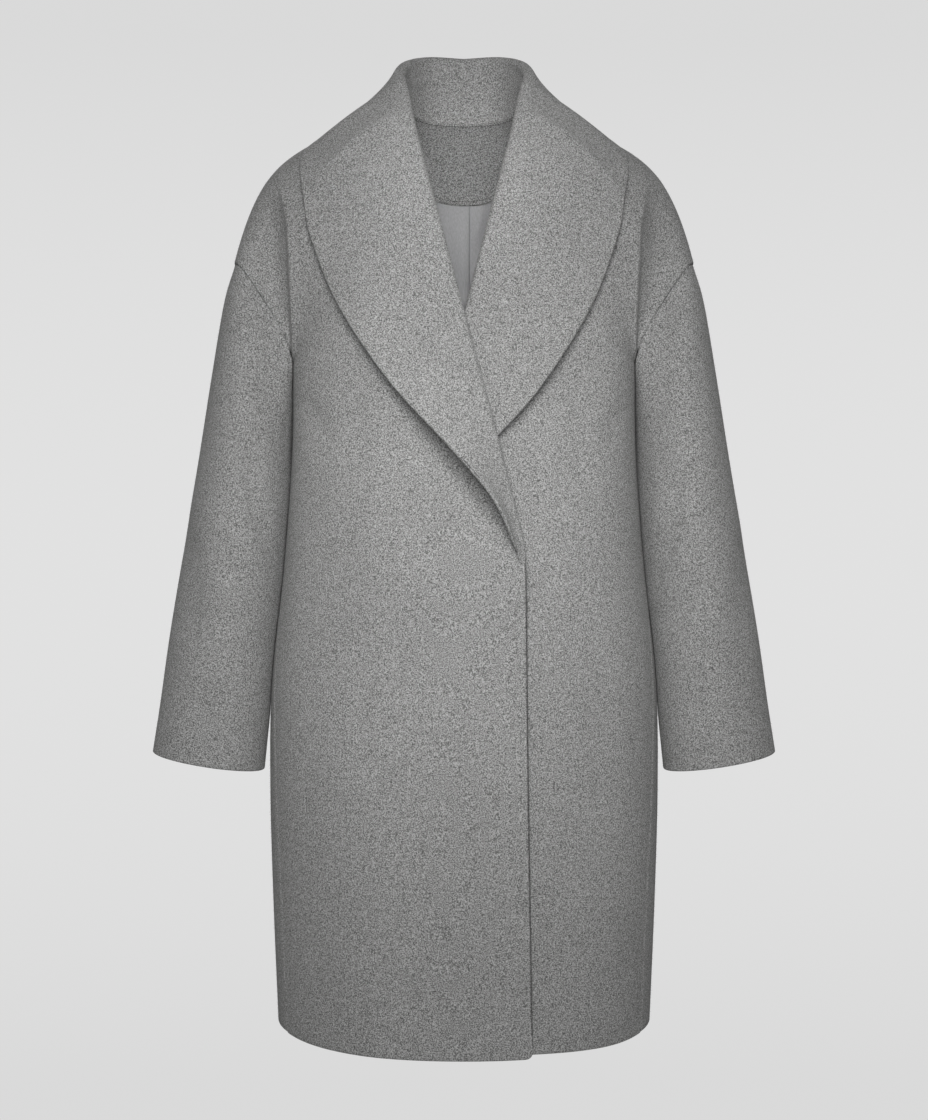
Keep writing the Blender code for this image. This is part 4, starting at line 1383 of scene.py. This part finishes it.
class COAT_OT_make_facing(bpy.types.Operator):
    """Makes the wool facing inside the back neck, with a row of stitches at its lower edge and a row of dark
    thread along the neck seam as painted shade
    """

    bl_idname = "coat.make_facing"
    bl_label = "Back neck facing"

    def execute(self, context):
        size = context.scene.coat_cloth
        across = np.linspace(-FACING_HALF_ACROSS, FACING_HALF_ACROSS, FACING_COLUMNS + 1)
        up = np.linspace(0, 1, FACING_ROWS + 1)[:, None]
        ups = 1 + np.linspace(FACING_LOWER_RISE, FACING_UPPER_RISE, FACING_ROWS + 1)
        points = back_grid(across, ups)
        inward = outward_of(points, 1)
        face = points + inward * (size.shell_wall + FACING_CLEARANCE + size.facing_wall)
        neck = NECK_SECTIONS[:FACING_NECK_SECTIONS]
        top_x = face[-1, :, 0]
        seam_y = through(column(neck, "base_x"), column(neck, "base_y"), np.abs(top_x))
        seam_z = through(column(neck, "base_x"), column(neck, "base_z"), np.abs(top_x))
        seam = stack(top_x, seam_y - size.collar_wall / 2, seam_z - FACING_SEAM_GAP)
        face = face + (seam - face[-1]) * ease(*FACING_SEAM_PULL, up)[..., None]
        face[..., 2] -= FACING_SAG * (across / FACING_HALF_ACROSS) ** 2 * (1 - up)
        inward = outward_of(face, 1)
        rims = Rims(size.facing_wall / 2, FACING_SEAM_RIM, FACING_SEAM_RIM, FACING_SEAM_RIM)
        piece, nap = wool_piece(context, "back_neck_facing", face, face - inward * size.facing_wall, rims, 1)
        thread = context.scene.coat_threads.thread
        edge_line = mix(face[0], face[1], EDGE_ROW_UP) + inward[0] * thread * EDGE_ROW_LIFT
        # The neck seam row is dark thread as painted shade: it draws the seam's shadowed ditch as a line
        seam_shade_line = mix(face[-1], face[-2], SEAM_SHADE_ROW_DOWN) + inward[-1] * thread * SEAM_SHADE_ROW_LIFT
        edge_row = stitched("facing_stitches", edge_line, context)
        seam_shade_row = stitched("neck_seam_stitches", seam_shade_line, context)
        worn(piece, "back_neck_facing", [nap, edge_row, seam_shade_row])
        return {"FINISHED"}


class COAT_OT_make_lining(bpy.types.Operator):
    """Makes the satin lining inside the back, with its pleat"""

    bl_idname = "coat.make_lining"
    bl_label = "Back lining"

    def execute(self, context):
        size = context.scene.coat_cloth
        across, shift, stand_off = lining_columns().T
        low = LINING_HEM_UP / (UNDERARM[2] - HEM_HEIGHT)
        ups = np.linspace(low, 1 + LINING_UPPER_RISE, LINING_ROWS + 1)
        flat_across = np.linspace(-LINING_HALF_ACROSS, LINING_HALF_ACROSS, 2 * LINING_COLUMNS + 1)
        smooth = back_grid(flat_across, ups)
        smooth = creased(smooth, outward_of(smooth, -1), BODY_CREASES, size.crease_share)
        inward = outward_of(smooth, 1)
        smooth = creased(smooth, inward, LINING_CREASES, size.crease_share)
        middle = LINING_COLUMNS
        which = np.rint((across / LINING_HALF_ACROSS + 1) * middle).astype(int)
        pressed = 1 - ease(0, PLEAT_PRESS_LENGTH, smooth[-1, middle, 2] - smooth[:, middle, 2])
        under = PLEAT_STEP * PLEAT_PRESS * (1 - stand_off / (2 * PLEAT_STEP))
        off = size.shell_wall + LINING_CLEARANCE + stand_off + pressed[:, None] * under
        points = smooth[:, which] + inward[:, which] * off[..., None]
        points[..., 0] += shift
        over = np.gradient(points, axis=1)
        facing = unit(stack(over[..., 1], -over[..., 0], np.zeros_like(over[..., 0])))
        rims = Rims(*[size.lining_wall / 2] * 4)
        piece = cloth("satin_back_lining", points + facing * size.lining_wall, points, rims, 1,
                      satin_lining(context.scene.coat_colours))
        piece.data.attributes.remove(piece.data.attributes[OUTER_SIDE])
        worn(piece, "back_lining")
        return {"FINISHED"}


class COAT_OT_make_stage(bpy.types.Operator):
    """Makes the floor, the light and the camera"""

    bl_idname = "coat.make_stage"
    bl_label = "Stage"

    def execute(self, context):
        scene, stage = context.scene, context.scene.coat_stage
        self.lay_floor(scene, stage)
        self.fill_air(scene, stage)
        for kind in STUDIO_LIGHTS:
            self.hang_light(scene, kind, getattr(stage, kind.power))
        self.set_camera(scene, stage)
        scene.view_settings.view_transform = "Standard"
        return {"FINISHED"}

    def lay_floor(self, scene, stage):
        """A round floor below the coat."""
        mesh = bpy.data.meshes.new("studio_floor")
        turns = np.linspace(0, 2 * np.pi, FLOOR_SIDES, endpoint=False)
        radius = stage.floor_radius
        ring = stack(radius * np.cos(turns), radius * np.sin(turns), stage.floor_height)
        mesh.from_pydata(ring.tolist(), [], [list(range(len(ring)))])
        mesh.materials.append(pale_floor(stage))
        floor = bpy.data.objects.new("studio_floor", mesh)
        scene.collection.objects.link(floor)

    def fill_air(self, scene, stage):
        """A backdrop that is brightest at eye level, and weaker as a light than as it looks."""
        world = bpy.data.worlds.new("studio_air")
        world.use_nodes = True
        air = world.node_tree
        seen = air.nodes.new("ShaderNodeMath")
        seen.operation = "MULTIPLY_ADD"
        air.links.new(air.nodes.new("ShaderNodeLightPath").outputs["Is Camera Ray"], seen.inputs[0])
        seen.inputs[1].default_value = 1 - stage.air_light
        seen.inputs[2].default_value = stage.air_light
        way = air.nodes.new("ShaderNodeSeparateXYZ")
        air.links.new(air.nodes.new("ShaderNodeTexCoord").outputs["Generated"], way.inputs["Vector"])
        steep = air.nodes.new("ShaderNodeMath")
        steep.operation = "MULTIPLY"
        for socket in steep.inputs[:2]:
            air.links.new(way.outputs["Z"], socket)
        darkest = toned(stage.backdrop, BACKDROP_DARKEST)
        shade = ramp(air, steep.outputs["Value"], (0.0, toned(stage.backdrop)), (BACKDROP_FADE, darkest))
        air.links.new(shade, air.nodes["Background"].inputs["Color"])
        air.links.new(seen.outputs["Value"], air.nodes["Background"].inputs["Strength"])
        scene.world = world

    def hang_light(self, scene, kind, power):
        """One round studio light."""
        light = bpy.data.lights.new(kind.name, "AREA")
        light.shape = "DISK"
        light.size = kind.size
        light.energy = power
        light.spread = math.radians(kind.spread)
        lamp = bpy.data.objects.new(kind.name, light)
        lamp.location = kind.place
        lamp.rotation_euler = (kind.tilt, 0, 0)
        lamp.visible_camera = False
        scene.collection.objects.link(lamp)

    def set_camera(self, scene, stage):
        """The camera, level with the coat's middle."""
        view = bpy.data.cameras.new("photo_view")
        view.sensor_width = 36
        view.lens = view.sensor_width * stage.camera_distance / stage.view_height
        camera = bpy.data.objects.new("photo_view", view)
        camera.location = (0, -stage.camera_distance, stage.eye_height)
        camera.rotation_euler = (math.pi / 2, 0, 0)
        scene.collection.objects.link(camera)
        scene.camera = camera


MAKERS = (
    COAT_OT_make_back,
    COAT_OT_make_fronts,
    COAT_OT_make_sleeves,
    COAT_OT_make_collar,
    COAT_OT_make_facing,
    COAT_OT_make_lining,
    COAT_OT_make_stage,
)


class COAT_PT_pieces(bpy.types.Panel):
    """Sizes, colours and pieces of the coat"""

    bl_label = "Coat"
    bl_idname = "COAT_PT_pieces"
    bl_space_type = "VIEW_3D"
    bl_region_type = "UI"
    bl_category = "Coat"

    def draw(self, context):
        for key, kind in GROUPS.items():
            box = self.layout.box()
            for name in kind.__annotations__:
                box.prop(getattr(context.scene, key), name)
        for maker in MAKERS:
            self.layout.operator(maker.bl_idname)


GROUPS = {
    "coat_cloth": CoatCloth,
    "coat_threads": CoatThreads,
    "coat_colours": CoatColours,
    "coat_stage": CoatStage,
}


def register():
    """Makes the classes known to Blender, and gives every scene its values."""
    for kind in (*GROUPS.values(), *MAKERS, COAT_PT_pieces):
        bpy.utils.register_class(kind)
    for name, group in GROUPS.items():
        setattr(bpy.types.Scene, name, bpy.props.PointerProperty(type=group))


def unregister():
    """Takes back what register did."""
    for name in GROUPS:
        delattr(bpy.types.Scene, name)
    for kind in (COAT_PT_pieces, *MAKERS, *GROUPS.values()):
        bpy.utils.unregister_class(kind)


def main():
    """Builds the coat and its stage."""
    register()
    bpy.ops.coat.make_back()
    bpy.ops.coat.make_fronts()
    bpy.ops.coat.make_sleeves()
    bpy.ops.coat.make_collar()
    bpy.ops.coat.make_facing()
    bpy.ops.coat.make_lining()
    bpy.ops.coat.make_stage()
    bpy.context.view_layer.update()


if __name__ == "__main__":
    main()
